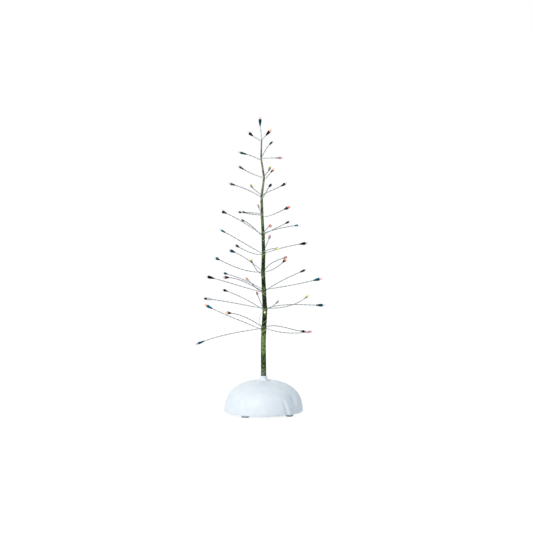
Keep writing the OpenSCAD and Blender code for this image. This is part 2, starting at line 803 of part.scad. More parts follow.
// Branches: each pair of leads bends in its own upright plane from the stem to its lamp
function root_lift(i) = root_step * (1 - i % 3);
function is_leader(w) = w[1] < 3;
function plan(w) = [cos(w[0]), sin(w[0]), 0];
function lamp_way(w) = cos(w[4]) * plan(w) + [0, 0, sin(w[4])];
function hermite(a, b, ta, tb, u) =
    a * (2 * u * u * u - 3 * u * u + 1) + ta * (u * u * u - 2 * u * u + u)
    + b * (3 * u * u - 2 * u * u * u) + tb * (u * u * u - u * u);
function branch_path(k, i) =
    let (w = WHORLS[k][i])
    let (z = tier_z(k) + root_lift(i))
    let (clear = 2 * seat + abs(sin(w[3])) * pair_d / 2)
    let (root = is_leader(w) ? [0, root_lift(i) + seat] : [stem_r(z) + clear, root_lift(i)])
    let (end = [w[1] - lamp_len(w) * cos(w[4]), w[2] - lamp_len(w) * sin(w[4])])
    let (chord = norm(end - root))
    [
        for (s = [0 : 8])
        let (p = hermite(
            root, end, chord * [cos(w[3]), sin(w[3])], chord * [cos(w[4]), sin(w[4])], s / 8))
        stem_mid(z) - [0, 0, root_lift(i)] + p[0] * plan(w) + [0, 0, p[1]]
    ];
module tier_wires(k) {
    color([0.6, 0.62, 0.63])
        for (i = [0 : len(WHORLS[k]) - 1]) {
            path = branch_path(k, i);
            across = [-sin(WHORLS[k][i][0]), cos(WHORLS[k][i][0]), 0];
            loft(tube_rings(path, [for (p = path) across], pair_d / 2, 6));
        }
}
// Places a lamp part, modelled along +Z from the end of its leads, on its branch
module at_lamp(k, i) {
    translate(branch_path(k, i)[8])
        rotate([0, 90 - WHORLS[k][i][4], WHORLS[k][i][0]])
            children();
}
module sleeve(mouth, share) {
    pair_r = pair_d / 2 + pair_room;
    full = sleeve_d * share;
    bore = bulb_d * share / 2 + seat;
    rotate_extrude($fn = 24)
        polygon([
            [pair_r, -sleeve_grip],
            [pair_r + 0.2, -sleeve_grip],
            [pair_r + 0.25, -sleeve_grip * 0.4],
            [max(pair_r + 0.2, full * 0.38), mouth * 0.2],
            [max(pair_r + 0.2, full * 0.47), mouth * 0.42],
            [full / 2, mouth * 0.64],
            [full * 0.49, mouth * 0.86],
            [full * 0.46, mouth],
            [bore, mouth],
            [bore, mouth * 0.5],
            [pair_r, mouth * 0.2]
        ]);
}
module bulb(mouth, share) {
    r = bulb_d * share / 2;
    shoulder = mouth + bulb_out - r;
    neck = [
        [0, seat], [pair_d / 2, seat], [pair_d / 2 + 0.05, mouth * 0.2], [r, mouth * 0.5 + seat]
    ];
    dome = [for (a = [0 : 15 : 90]) [r * cos(a), shoulder + r * sin(a)]];
    rotate_extrude($fn = 24)
        polygon(concat(neck, dome));
}

LAMP_TINTS = [PINK, RED, ORANGE, YELLOW, CLEAR, GREEN];
LAMP_COLOURS = [
    [0.95, 0.45, 0.6], [0.85, 0.12, 0.1], [0.95, 0.5, 0.2],
    [0.95, 0.85, 0.3], [0.9, 0.93, 0.92], [0.15, 0.4, 0.35]
];
SLEEVE_TINTS = [BLACK, TEAL, PALE];
SLEEVE_COLOURS = [[0.06, 0.07, 0.09], [0.1, 0.42, 0.46], [0.75, 0.72, 0.78]];
module lamps_of(n) {
    color(LAMP_COLOURS[n])
        for (k = [0 : tiers - 1])
            for (i = [0 : len(WHORLS[k]) - 1])
                if (WHORLS[k][i][5] == LAMP_TINTS[n])
                    at_lamp(k, i)
                        bulb(mouth(WHORLS[k][i]), WHORLS[k][i][8]);
}
module sleeves_of(n) {
    color(SLEEVE_COLOURS[n])
        for (k = [0 : tiers - 1])
            for (i = [0 : len(WHORLS[k]) - 1])
                if (WHORLS[k][i][6] == SLEEVE_TINTS[n])
                    at_lamp(k, i)
                        sleeve(mouth(WHORLS[k][i]), WHORLS[k][i][8]);
}

TIER_NODES = [for (k = [0 : tiers - 1]) str("tier_", k + 1, "_wires")];
LAMP_NODES = [for (t = LAMP_TINTS) str("lamps_", t)];
SLEEVE_NODES = [for (t = SLEEVE_TINTS) str("sleeves_", t)];

base_shell();
base_plate();
battery_door();
foot_pads();
case_screws();
battery_front();
battery_rear();
bridge_contact();
positive_contact();
negative_contact();
contact_springs();
switch_body();
switch_pins();
switch_slider();
red_lead();
black_lead();
lamp_lead();
stem_rod();
lead_bundle();
stem_tape();
stem_glue();
for (k = [0 : tiers - 1])
    tier_wires(k);
for (n = [0 : len(SLEEVE_TINTS) - 1])
    sleeves_of(n);
for (n = [0 : len(LAMP_TINTS) - 1])
    lamps_of(n);
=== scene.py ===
import random
from collections import namedtuple
from math import atan2, cos, degrees, exp, floor, hypot, pi, radians, sin, sqrt

import bmesh
import bpy
from bpy.props import FloatProperty, FloatVectorProperty, IntProperty, PointerProperty
from mathutils import Matrix, Vector, noise


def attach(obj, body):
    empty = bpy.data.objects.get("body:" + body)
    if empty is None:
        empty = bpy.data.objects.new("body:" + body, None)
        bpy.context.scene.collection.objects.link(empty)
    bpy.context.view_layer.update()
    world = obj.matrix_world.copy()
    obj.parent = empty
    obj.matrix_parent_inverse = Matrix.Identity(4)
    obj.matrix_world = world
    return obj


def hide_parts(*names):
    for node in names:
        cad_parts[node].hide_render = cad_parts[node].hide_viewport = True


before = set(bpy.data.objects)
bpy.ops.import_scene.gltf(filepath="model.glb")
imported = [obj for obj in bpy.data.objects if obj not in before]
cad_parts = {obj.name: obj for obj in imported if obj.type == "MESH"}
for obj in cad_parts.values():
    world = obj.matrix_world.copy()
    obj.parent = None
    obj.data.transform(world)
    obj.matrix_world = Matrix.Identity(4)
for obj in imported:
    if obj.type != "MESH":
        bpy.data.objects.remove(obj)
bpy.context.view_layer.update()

bl_info = {
    "name": "Lighted Miniature Tree",
    "version": (1, 0, 0),
    "blender": (4, 5, 0),
    "location": "View3D > Sidebar > Tree",
    "description": "Dresses the packed miniature tree: snow base, taped stem, twisted branches and lamps",
    "category": "Add Mesh",
}

MM = 0.001

# Millimetres and degrees, unless a line says otherwise.
# Snow mound, as the solid has it
RIM_Z = 2.8
BASE_R = 39.966
MOUND_H = 31.5
FULL = 2.35
SHELL_WALL = 2.2
DRIFT_DEPTH = 1.2
# Direction at the rim, half-width, share of the depth, lean from rim to top
DRIFTS = (
    (-35, 12, 1.2, 8), (-14, 8, 0.3, 0), (14, 12, 0.7, -10),
    (52, 9, 0.5, 8), (85, 14, 0.8, -6), (128, 8, 0.6, 12), (168, 12, 0.4, 0), (212, 10, 0.25, 8),
)
# Fold and its ridge: direction at the rim, half-width, depth; their lean; where and how softly they fade
FOLD = (-52.5, 2.6, 1.1)
RIDGE = (-47, 3, -0.35)
FOLD_LEAN = 12
FOLD_FADE = (0.42, 0.06)
# Hollow, further round and deeper than the solid's:
# direction, half-width, height and half-height as shares of the mound's, depth
HOLLOW = (-34, 6, 0.47, 0.17, 0.9)
# Dip in the snow beside the collar and the drip that stands in it: place, half-sizes, depth;
# and the share of them that the steepest snow loses
DIP = (5.6, 0, 2, 7, 1.4)
DRIP = (2.6, -5.2, 0.8, 1.5, -0.7)
DIP_LOSS = 0.6
# Ripple of the snow: waves in a millimetre, share of its height
RIPPLES = ((0.085, 1), (0.19, 0.5))
# Section of the mound, outside and inside: slope at its top and steps up to it; and how the rim is eased
OUTSIDE_STEPS = (85.5, 44)
INSIDE_STEPS = (84, 20)
RIM_EASE = (0.35, 0.3)
# Collar and its socket for the stem, as (radius, height)
COLLAR_TOP = 38.4
SOCKET_R = 2.7
SOCKET_LOW = 27.8
COLLAR = (
    (4.3, 34.35), (4.14, 34.6), (4.08, 35.2), (3.98, 36.4), (3.86, 37.7), (3.78, 38.1),
    (3.64, 38.32), (3.4, COLLAR_TOP), (2.86, COLLAR_TOP), (2.74, 38.34), (SOCKET_R, 38.2),
)
SOCKET = ((SOCKET_R, 33), (SOCKET_R, SOCKET_LOW), (4.1, SOCKET_LOW), (4.1, 31))
# Points nearer to the middle than this, or less far out to the surface, stay as they were turned
COLLAR_R = 4.2
SURFACE = 0.96
# Section of a screw boss, as (radius, height), its faces, and its distance from the middle
BOSS = ((1.25, 6.05), (2.7, 6.05), (2.7, 16), (1.25, 16))
BOSS_SIDES = 24
BOSS_OUT = 33.28
BASE_TURN = radians(10)

# Stem and whorls
FIRST_TIER = 86.5
TIER_PITCH = 19
STEM_TOP = 278
TAPE_LOW = 27
ROOT_STEP = 1.5
# Gap at a root, gap under the lamp on the stem's top, and a reach that only that lamp is under
ROOT_GAP = 0.1
TOP_GAP = 0.05
TOP_REACH = 3
# Offset of the stem at each whorl, and a bend below them that only the tape has: height, offset
BENDS = (
    (0.3, 0.5), (1.4, -0.5), (0.3, 1), (-0.5, 0), (0, -1), (-0.5, 0.5),
    (-1.5, 1), (-2, -0.5), (0.5, 0.5), (-2.5, 1), (-2, 0),
)
TAPE_BEND = (73, -0.3)
# Faces round the tape, radius it is first wound at, height of its lumps, height and half-length of its
# knot at a whorl, and the radius of stem under which those shrink
TAPE_SIDES = 22
WOUND_R = 10
LUMP = 0.1
KNOT = (0.22, 2.6)
THIN_STEM_R = 1.8
# Painted light and shade on the tape, as how light it is: by height up to the foot's end, then by the share
# of the way between two whorls, low and high on the stem, and the heights between which those change over
FOOT_END = FIRST_TIER - 6
FOOT_TONES = ((38, 0.3), (46, 0.34), (48, 0.16), (60, 0.26), (63, 0.75), (78, 1), (81, 0.5))
LOW_TONES = ((0, 0.3), (0.12, 0.2), (0.3, 0), (0.55, 0), (0.7, 0.15), (0.85, 0.3), (1, 0.3))
HIGH_TONES = ((0, 0.7), (0.2, 0.45), (0.35, 0.45), (0.55, 0.95), (0.9, 0.9), (1, 0.7))
TONE_CHANGE = ((160, 0), (222, 1))
# Fine wires on the tape: both ends of the single ones; for those at the whorls, how far they start below
# a whorl and end above it, and how many each has; then step, distance out and sink at the ends
STRAND_SPANS = (
    (COLLAR_TOP + 0.5, 46), (COLLAR_TOP + 0.5, 52), (FIRST_TIER + 2, 103), (FIRST_TIER + 4, 101),
)
STRAND_BELOW = 8
STRAND_ABOVE = 4
STRAND_COUNTS = (3, 3, 3, 2, 2, 2, 2, 2)
STRAND_STEP = 0.7
STRAND_OUT = 0.2
STRAND_SINK = 0.35
STRAND_SEED = 4
# One loose loop of lead on the left, between the two lowest whorls
LOOSE_LOOP = (
    (-2.2, -1.2, 102.5), (-3.4, -1.6, 99.5), (-4.4, -1.4, 96),
    (-4.3, -1.2, 92.5), (-3.2, -1.2, 90), (-2.1, -1, 88.6),
)
# Twisted pairs: girth, faces round a strand, step, least and further play, run into sleeve and under tape,
# steps over which the strands close up before the sleeve, and steps that measure a branch
PAIR_D = 0.9
STRAND_SIDES = 6
TWIST_STEP = 0.75
PLAY = 0.06
OPENING = 0.16
INTO_SLEEVE = 1.2
UNDER_TAPE = 0.6
CLOSING_STEPS = 3
MEASURE_STEPS = 96
TWIST_SEED = 11
# Sleeves and lamps
SLEEVE_LEN = 6.5
SLEEVE_GRIP = 1.5
BULB_OUT = 2.8
SLEEVE_D = 3.1
BULB_D = 2.3
LAMP_SIDES = 20
# Each lamp: direction, reach and rise of its tip, slope at the stem, slope at the lamp, lamp tint,
# sleeve tint, length of the sleeve as a share of the longest, girth of both as a share of the fullest
Lamp = namedtuple("Lamp", "way reach rise leave arrive tint sleeve cut girth")
WHORL_ROWS = (
    (
        (-135, 53.5, 19.5, 30, 8, "orange", "black", 0.7, 1),
        (-169, 70, -15, -8, -20, "pink", "teal", 1, 0.78),
        (160, 64.5, 22, 22, 24, "orange", "teal", 1, 1),
        (38, 55, -7, 8, -8, "orange", "black", 0.6, 0.85),
        (-27, 54, -0.5, -16, 10, "pink", "pale", 0.75, 0.85),
    ),
    (
        (14, 63, 3, 16, -2, "clear", "teal", 1, 1),
        (73, 48, 5, -4, 12, "clear", "pale", 0.8, 0.85),
        (100, 50, 13.5, 14, 18, "red", "pale", 0.6, 0.85),
        (-167, 62.5, 12.5, 10, 8, "green", "pale", 0.85, 1),
        (141, 57, 17.5, 24, 12, "pink", "black", 0.7, 0.85),
        (-90, 50, 2, 4, 5, "yellow", "black", 0.7, 0.95),
        (-36, 54.5, 18, 2, 36, "yellow", "pale", 0.6, 0.75),
    ),
    (
        (-13, 60, 13.5, 8, 14, "pink", "teal", 1, 1),
        (-142, 52, 16, 24, 5, "pink", "black", 0.8, 1),
        (170, 60.5, 14, 14, 14, "clear", "black", 1, 1),
        (139, 56.5, 15.5, 22, 9, "clear", "teal", 0.6, 0.8),
        (40, 57, 19, 27, 16, "clear", "black", 0.9, 0.8),
        (-113, 46.5, 16.5, 10, 24, "orange", "pale", 0.7, 0.75),
    ),
    (
        (139, 46.5, 20.5, 30, 15, "pink", "teal", 0.85, 1),
        (-166, 51, 16, -2, 27, "clear", "teal", 0.65, 1),
        (-107, 43, 15.5, 0, 32, "yellow", "black", 0.6, 0.85),
        (60, 49, 12.5, 32, 6, "red", "pale", 0.6, 0.9),
        (-60, 46, 16, 8, 30, "orange", "black", 0.75, 0.95),
    ),
    (
        (-69, 41, 6.5, 14, 0, "yellow", "pale", 0.6, 1),
        (-161, 47, 25, 28, 28, "clear", "teal", 0.7, 0.7),
        (134, 42.5, 7, -4, 20, "pink", "black", 0.6, 0.95),
        (80, 38, 16, 24, 25, "red", "pale", 0.6, 0.95),
        (19, 47.5, 9.5, 18, 7, "clear", "black", 0.9, 1),
    ),
    (
        (-77, 36, 10, 14, 5, "red", "pale", 0.6, 1),
        (166, 45, 23.5, 34, 23, "clear", "black", 0.7, 1),
        (-128, 37.5, 16, 30, 14, "clear", "black", 0.65, 0.75),
        (-25, 41.5, 10, 18, 7, "clear", "teal", 0.6, 0.7),
        (48, 41, 12, 18, 18, "clear", "black", 0.65, 0.8),
    ),
    (
        (100, 26, 10.5, 15, 25, "orange", "pale", 0.6, 0.7),
        (-132, 31.5, 5, 8, 16, "clear", "black", 0.6, 0.75),
        (-28, 31.5, 9, 4, 22, "red", "black", 0.65, 1),
        (141, 32.5, 2.5, 6, 0, "clear", "black", 0.6, 0.75),
    ),
    (
        (116, 28, 12, 22, 30, "yellow", "pale", 0.6, 0.8),
        (-165, 35, 13.5, 30, 16, "clear", "black", 0.75, 0.8),
        (-70, 28, 12.5, 14, 22, "green", "teal", 0.6, 0.9),
        (34, 30.5, 13.5, 28, 26, "pink", "teal", 0.7, 0.9),
    ),
    (
        (72, 22, 11, 18, 35, "yellow", "pale", 0.7, 0.85),
        (162, 28.5, 12, 12, 30, "clear", "black", 0.75, 0.8),
        (-61, 21.5, 9, 18, 28, "orange", "black", 0.65, 0.75),
    ),
    (
        (54, 20.5, 17.5, 50, 30, "pink", "teal", 0.6, 0.7),
        (-27, 25, 0.5, 3, 0, "pink", "pale", 0.7, 0.75),
        (-158, 25.5, 6.5, 28, 14, "clear", "teal", 1, 0.7),
    ),
    (
        (180, 1.5, 23, 88, 90, "pink", "teal", 1, 0.95),
        (-41, 13, 10, 40, 40, "orange", "black", 1, 1),
        (156, 15.5, 8, 36, 38, "clear", "black", 0.7, 1),
    ),
)
WHORLS = [[Lamp(*row) for row in rows] for rows in WHORL_ROWS]

# What each lamp's glass pales to at its tip, how far, and the seed of the tint's unevenness
GLASS = {
    "pink": ((1, 1, 1), 0.6, 15296),
    "red": ((1, 0.7, 0.55), 0.25, 46144),
    "orange": ((1, 0.84, 0.64), 0.6, 21592),
    "yellow": ((1, 0.98, 0.66), 0.6, 6250),
    "clear": ((1, 1, 1), 0.4, 5),
    "green": ((0.02, 0.03, 0.03), 0.5, 5),
}

# How dark a sleeve is where it grips the leads and how dark it can be elsewhere, as shares of its tint,
# the lightest that it can be, how rare the light ones are, and the seed of their unevenness
SLEEVES = {
    "black": (0.4, 0.4, (106, 110, 114), 2, 436341),
    "teal": (0.35, 0.35, (10, 126, 146), 1, 139050),
    "pale": (0.65, 0.4, (236, 240, 243), 1, 103397),
}

# Leads in the base, before the base's turn about the trunk
RED_ROUTE = (
    (-30.1, -6.3, 17.1), (-30.1, -10.5, 16.9), (-30.1, -14.85, 14.35), (-29, -18.35, 13.35),
    (-22.2, -20.85, 13.35), (-10, -23.25, 13.95), (-4.2, -22.45, 14.55), (-3, -22.45, 13.35),
    (-3, -22.45, 12.15),
)
BLACK_ROUTE = (
    (-30.1, 8.7, 17.1), (-30.1, 5.5, 17.3), (-30.4, 1.4, 19.85), (-27.2, 0, 22.05),
    (-20.2, 0, 21.65), (-6, 0, 24.1), (-1.3, 0, 24.9), (-1.3, 0, 25.95),
)
LAMP_ROUTE = (
    (3, -22.45, 12.15), (3, -22.45, 13.35), (3.8, -20.95, 17.15), (3.8, -14.85, 23.4),
    (3.4, -9.5, 24.6), (2.1, -3, 24.4), (1.3, 0, 24.9), (1.3, 0, 25.95),
)
LEAD_D = 1.2
LEAD_SIDES = 10

# Cells, before the base's turn: both ends of the front one, and how far back and how high a cell lies
CELL_LOW = -27.4
CELL_HIGH = 23.1
CELL_Y = 7.5
CELL_Z = 13.35
# Contact springs: turns, steps in a turn, wire, rise of the coil, height of the tip, radius at foot and tip
SPRING_TURNS = 2.5
SPRING_STEPS = 24
SPRING_WIRE = 0.6
SPRING_RISE = 3.05
SPRING_TIP = 4.25
SPRING_FOOT_R = 4.2
SPRING_TIP_R = 2.8

# Camera and key light, in metres; lens and sensor in millimetres
CAMERA_PLACE = (0.00292, -1.6, 0.2562)
CAMERA_AIM = (0.00292, 0, 0.149)
LENS = 107.66
SENSOR = 36
KEY_PLACE = (-0.8, -1.17, 1.13)
KEY_AIM = (0, 0, 0.08)
KEY_SIZE = 0.5
KEY_COLOUR = (1, 0.95, 0.87)
FLOOR_R = 6
# Cast of the light from all round, and of the soft neutral one low behind the tree
SKY_CAST = (0.84, 0.985, 1.13)
BACK_CAST = (3.3, 3.2, 3.1)
# Where most of the grain's noise lies
GRAIN_RANGE = (0.3, 0.7)


def srgb(red, green, blue):
    """A colour written as a display shows it, in the shader's linear values."""
    return tuple(
        (c / 12.92 if c <= 0.04045 else ((c + 0.055) / 1.055) ** 2.4)
        for c in (red / 255, green / 255, blue / 255)
    )


def colour(name, description, value):
    return FloatVectorProperty(
        name=name, description=description, subtype="COLOR", size=3, min=0, max=1, default=srgb(*value)
    )


def length(name, description, millimetres):
    return FloatProperty(
        name=name, description=description, unit="LENGTH", subtype="DISTANCE", precision=5, min=0,
        default=millimetres * MM,
    )


class SnowSettings(bpy.types.PropertyGroup):
    light: colour("Snow", "Colour of the moulded snow", (244, 249, 252))
    shade: colour("Snow shade", "Colour of its cooler patches", (236, 243, 251))
    ripple: length("Ripple", "Height of the soft ripples in the surface", 0.1)
    steps: IntProperty(name="Steps", description="Faces round the mound", min=72, default=360)


class StemSettings(bpy.types.PropertyGroup):
    # The tape lit and in painted shade; the tone between them paints the light and shade along the stem
    tape_lit: colour("Tape", "Colour of the tape where it is drawn tight", (122, 147, 86))
    tape_shaded: colour("Tape in the shade", "Colour of the tape between the whorls", (8, 27, 0))
    tape_top: colour("Tape at the top", "Colour of the tape near the top, where it is worn", (142, 150, 128))
    # Painted reflection of the white snow: the bluish grey that the tape takes by the collar
    tape_foot_reflection: colour("Tape at the foot", "Colour of the tape by the collar", (114, 132, 114))
    strand: colour("Surface wire", "Colour of the fine wires that wind over the tape", (184, 196, 144))
    lap: length("Lap", "Height from one turn of tape to the next", 4.2)
    width: length("Tape width", "Width of the tape", 6)
    strand_d: length("Surface wire", "Diameter of the fine wires on the tape", 0.44)


class BranchSettings(bpy.types.PropertyGroup):
    light: colour("Enamel", "Colour of the lamp leads", (150, 153, 150))
    dark: colour("Enamel, dark", "Colour of the lamp leads where they are dull", (108, 112, 110))
    root: colour("Enamel at the stem", "Colour of the lamp leads by the stem", (174, 185, 182))
    strand_d: length("Strand", "Diameter of one strand of a pair", 0.44)
    pitch: length("Twist", "Length of one full twist", 9)


class LampSettings(bpy.types.PropertyGroup):
    pink: colour("Pink", "Pink lamps", (208, 84, 128))
    red: colour("Red", "Red lamps", (200, 32, 36))
    orange: colour("Orange", "Orange lamps", (222, 116, 56))
    yellow: colour("Yellow", "Yellow lamps", (208, 196, 66))
    clear: colour("Clear", "Clear lamps", (184, 197, 194))
    green: colour("Green", "Green lamps", (6, 16, 18))
    sleeve_black: colour("Black sleeve", "Black sleeves", (2, 13, 22))
    sleeve_teal: colour("Teal sleeve", "Teal sleeves", (0, 76, 90))
    sleeve_pale: colour("Pale sleeve", "Pale sleeves", (184, 186, 190))
    glow: FloatProperty(name="Glow", description="How brightly the lamps are lit", min=0, default=0.25)


class BaseSettings(bpy.types.PropertyGroup):
    plate: colour("Plate", "Colour of the plate and the battery door", (222, 229, 235))
    foot: colour("Feet", "Colour of the foot pads", (228, 237, 243))
    jacket: colour("Cell jacket", "Colour of the cells' film", (92, 112, 128))
    switch: colour("Switch", "Colour of the slide switch", (38, 40, 44))


class StageSettings(bpy.types.PropertyGroup):
    floor: colour("Floor", "Colour of the floor", (244, 245, 246))
    key: FloatProperty(name="Key light", description="Power of the main light, in watts", min=0, default=16.9)
    sky: FloatProperty(name="Sky", description="Level of the light from all round", min=0, default=0.445)


class TreeSettings(bpy.types.PropertyGroup):
    snow: PointerProperty(type=SnowSettings, name="Snow", description="Snow mound")
    stem: PointerProperty(type=StemSettings, name="Stem", description="Taped stem")
    branch: PointerProperty(type=BranchSettings, name="Branches", description="Twisted lamp leads")
    lamp: PointerProperty(type=LampSettings, name="Lamps", description="Lamps and sleeves")
    base: PointerProperty(type=BaseSettings, name="Base", description="Fittings of the base")
    stage: PointerProperty(type=StageSettings, name="Stage", description="Floor and lights")


# Shapes that follow the solids, in millimetres


def lookup(x, table):
    """Straight-line reading of a table of (x, value)."""
    if x <= table[0][0]:
        return table[0][1]
    for (x0, v0), (x1, v1) in zip(table, table[1:]):
        if x <= x1:
            return v0 + (v1 - v0) * (x - x0) / (x1 - x0)
    return table[-1][1]


def tier_z(k):
    """Height of a whorl."""
    return FIRST_TIER + TIER_PITCH * k


STEM_X = [(0, 0), (COLLAR_TOP, 0), TAPE_BEND] + [(tier_z(k), b[0]) for k, b in enumerate(BENDS)]
STEM_Y = [(0, 0), (COLLAR_TOP, 0)] + [(tier_z(k), b[1]) for k, b in enumerate(BENDS)]
STEM_D = [(0, 5.2), (COLLAR_TOP + 1, 5.2), (FIRST_TIER, 4.7), (STEM_TOP, 1.3)]


def stem_mid(z):
    """Middle of the stem at a height."""
    return Vector((lookup(z, STEM_X), lookup(z, STEM_Y), z))


def stem_r(z):
    """Radius of the stem at a height."""
    return lookup(z, STEM_D) / 2


def around(middle, r, angle):
    """The point at a distance and a level direction from another."""
    return middle + Vector((r * cos(angle), r * sin(angle), 0))


def drift(azimuth, lift):
    """Depth of the drifts at a direction in degrees and a share of the mound's height."""
    total = 0
    for middle, half, share, lean in DRIFTS:
        away = (azimuth - middle + lean * lift + 900) % 360 - 180
        total += share * exp(-((away / half) ** 2))
    return DRIFT_DEPTH * total


def crease(azimuth, lift):
    """Depth of the sharp fold at the right of the mound, its ridge and the hollow beyond it."""
    folded = 0
    for middle, half, depth in (FOLD, RIDGE):
        folded += depth * exp(-(((azimuth - middle + FOLD_LEAN * lift) / half) ** 2))
    height, softness = FOLD_FADE
    fade = 1 / (1 + exp((lift - height) / softness))
    middle, half, height, half_height, depth = HOLLOW
    hollow = exp(-(((azimuth - middle) / half) ** 2) - ((lift - height) / half_height) ** 2)
    return folded * fade + depth * hollow


def settling(x, y):
    """Depth of the dip beside the collar, less the drip that stands in it."""
    total = 0
    for middle_x, middle_y, half_x, half_y, depth in (DIP, DRIP):
        total += depth * exp(-(((x - middle_x) / half_x) ** 2) - ((y - middle_y) / half_y) ** 2)
    return total


def mouth(lamp):
    """Height of a sleeve's mouth above the end of its leads."""
    return SLEEVE_LEN * lamp.cut - SLEEVE_GRIP


def root_lift(i):
    """Height of a branch's root above its whorl; roots step round the stem in threes."""
    return ROOT_STEP * (1 - i % 3)


def branch_path(k, i, steps):
    """Centre line of one branch, from the stem to the start of its lamp."""
    lamp = WHORLS[k][i]
    way, leave, arrive = (radians(a) for a in (lamp.way, lamp.leave, lamp.arrive))
    lift = root_lift(i)
    z = tier_z(k) + lift
    if lamp.reach < TOP_REACH:
        root = Vector((0, lift + TOP_GAP))
    else:
        root = Vector((stem_r(z) + ROOT_GAP + abs(sin(leave)) * PAIR_D / 2, lift))
    lamp_len = mouth(lamp) + BULB_OUT
    end = Vector((lamp.reach - lamp_len * cos(arrive), lamp.rise - lamp_len * sin(arrive)))
    chord = (end - root).length
    start_way = chord * Vector((cos(leave), sin(leave)))
    end_way = chord * Vector((cos(arrive), sin(arrive)))
    foot = stem_mid(z) - Vector((0, 0, lift))
    plan = Vector((cos(way), sin(way), 0))
    path = []
    for n in range(steps + 1):
        u = n / steps
        p = (
            root * (2 * u**3 - 3 * u**2 + 1) + start_way * (u**3 - 2 * u**2 + u)
            + end * (3 * u**2 - 2 * u**3) + end_way * (u**3 - u**2)
        )
        path.append(foot + p.x * plan + Vector((0, 0, p.y)))
    return path


def lamp_place(k, i):
    """Where a lamp modelled along +Z from the end of its leads stands on its branch."""
    lamp = WHORLS[k][i]
    tip = Matrix.Rotation(pi / 2 - radians(lamp.arrive), 4, "Y")
    turn = Matrix.Rotation(radians(lamp.way), 4, "Z") @ tip
    return Matrix.Translation(branch_path(k, i, 8)[-1]) @ turn


def each_lamp(kind, tint):
    """Whorl, place in it and lamp, for each lamp or sleeve of one tint."""
    for k, whorl in enumerate(WHORLS):
        for i, lamp in enumerate(whorl):
            if getattr(lamp, kind) == tint:
                yield k, i, lamp


def smooth_route(points, steps):
    """A smooth path through a few points."""
    points = [Vector(p) for p in points]
    path = []
    for i in range(len(points) - 1):
        a, b = points[max(i - 1, 0)], points[i]
        c, d = points[i + 1], points[min(i + 2, len(points) - 1)]
        for s in range(steps):
            u = s / steps
            bent = 2 * b + (c - a) * u + (2 * a - 5 * b + 4 * c - d) * u**2
            path.append(0.5 * (bent + (3 * b - a - 3 * c + d) * u**3))
    return path + [points[-1]]


# Modelling


def ring_stands(path):
    """A matrix at each point of a path that stands a flat ring across it, turning as little as it can."""
    ways = []
    for i in range(len(path)):
        ways.append((path[min(i + 1, len(path) - 1)] - path[max(i - 1, 0)]).normalized())
    turn = Vector((0, 0, 1)).rotation_difference(ways[0])
    stands = [Matrix.Translation(path[0]) @ turn.to_matrix().to_4x4()]
    for i in range(1, len(path)):
        turn = ways[i - 1].rotation_difference(ways[i]) @ turn
        stands.append(Matrix.Translation(path[i]) @ turn.to_matrix().to_4x4())
    return stands


def sweep(path, radius, sides):
    """A round wire along a path, closed at both ends, as a mesh."""
    stands = ring_stands(path)
    bm = bmesh.new()
    ring = bmesh.ops.create_circle(bm, cap_ends=True, segments=sides, radius=radius, matrix=stands[0])
    edges = list({e for v in ring["verts"] for e in v.link_edges})
    for before, now in zip(stands, stands[1:]):
        pulled = bmesh.ops.extrude_edge_only(bm, edges=edges)["geom"]
        verts = {g for g in pulled if isinstance(g, bmesh.types.BMVert)}
        edges = [g for g in pulled if isinstance(g, bmesh.types.BMEdge) and verts.issuperset(g.verts)]
        bmesh.ops.transform(bm, matrix=now @ before.inverted(), verts=list(verts))
    bmesh.ops.edgeloop_fill(bm, edges=edges)
    bmesh.ops.recalc_face_normals(bm, faces=bm.faces)
    return to_mesh(bm, "wire")


def turned(profile, steps, closed=False):
    """A profile of (radius, height) spun a full turn about Z, as a bmesh."""
    bm = bmesh.new()
    verts = [bm.verts.new((r, 0, z)) for r, z in profile]
    edges = [bm.edges.new(pair) for pair in zip(verts, verts[1:] + ([verts[0]] if closed else []))]
    bmesh.ops.spin(
        bm, geom=verts + edges, cent=(0, 0, 0), axis=(0, 0, 1), angle=2 * pi, steps=steps, use_merge=True
    )
    bmesh.ops.remove_doubles(bm, verts=bm.verts, dist=1e-5)
    bmesh.ops.recalc_face_normals(bm, faces=bm.faces)
    return bm


def to_mesh(bm, name):
    mesh = bpy.data.meshes.new(name)
    bm.to_mesh(mesh)
    bm.free()
    return mesh


def gather(parts):
    """Several meshes in one bmesh; the parts are used up."""
    bm = bmesh.new()
    for part in parts:
        bm.from_mesh(part)
        bpy.data.meshes.remove(part)
    return bm


def piece(name, bm, finishes, replaces, sharp=35):
    """Makes a finished piece of the tree from a bmesh in millimetres."""
    bmesh.ops.scale(bm, vec=(MM, MM, MM), verts=bm.verts)
    mesh = to_mesh(bm, name)
    if not mesh.polygons:
        raise RuntimeError(f"{name} has no faces")
    mesh.shade_smooth()
    mesh.set_sharp_from_angle(angle=radians(sharp))
    for finish in finishes:
        mesh.materials.append(finish)
    obj = bpy.data.objects.new(name, mesh)
    bpy.context.scene.collection.objects.link(obj)
    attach(obj, "tree")
    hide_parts(*replaces)
    return obj


def paint(obj, name, values, kind="FLOAT", key="value"):
    """Gives each point of a piece a number or a colour that its material reads."""
    attribute = obj.data.attributes.new(name, kind, "POINT")
    attribute.data.foreach_set(key, values)


# Finishes


def add(tree, kind, inputs=None, **settings):
    """A shader node with its settings; inputs hold values or the sockets that feed them."""
    node = tree.nodes.new(f"ShaderNode{kind}")
    for key, value in settings.items():
        setattr(node, key, value)
    for key, value in (inputs or {}).items():
        if isinstance(value, bpy.types.NodeSocket):
            tree.links.new(value, node.inputs[key])
        else:
            node.inputs[key].default_value = value
    return node


def rgba(value):
    return (*value[:3], 1)


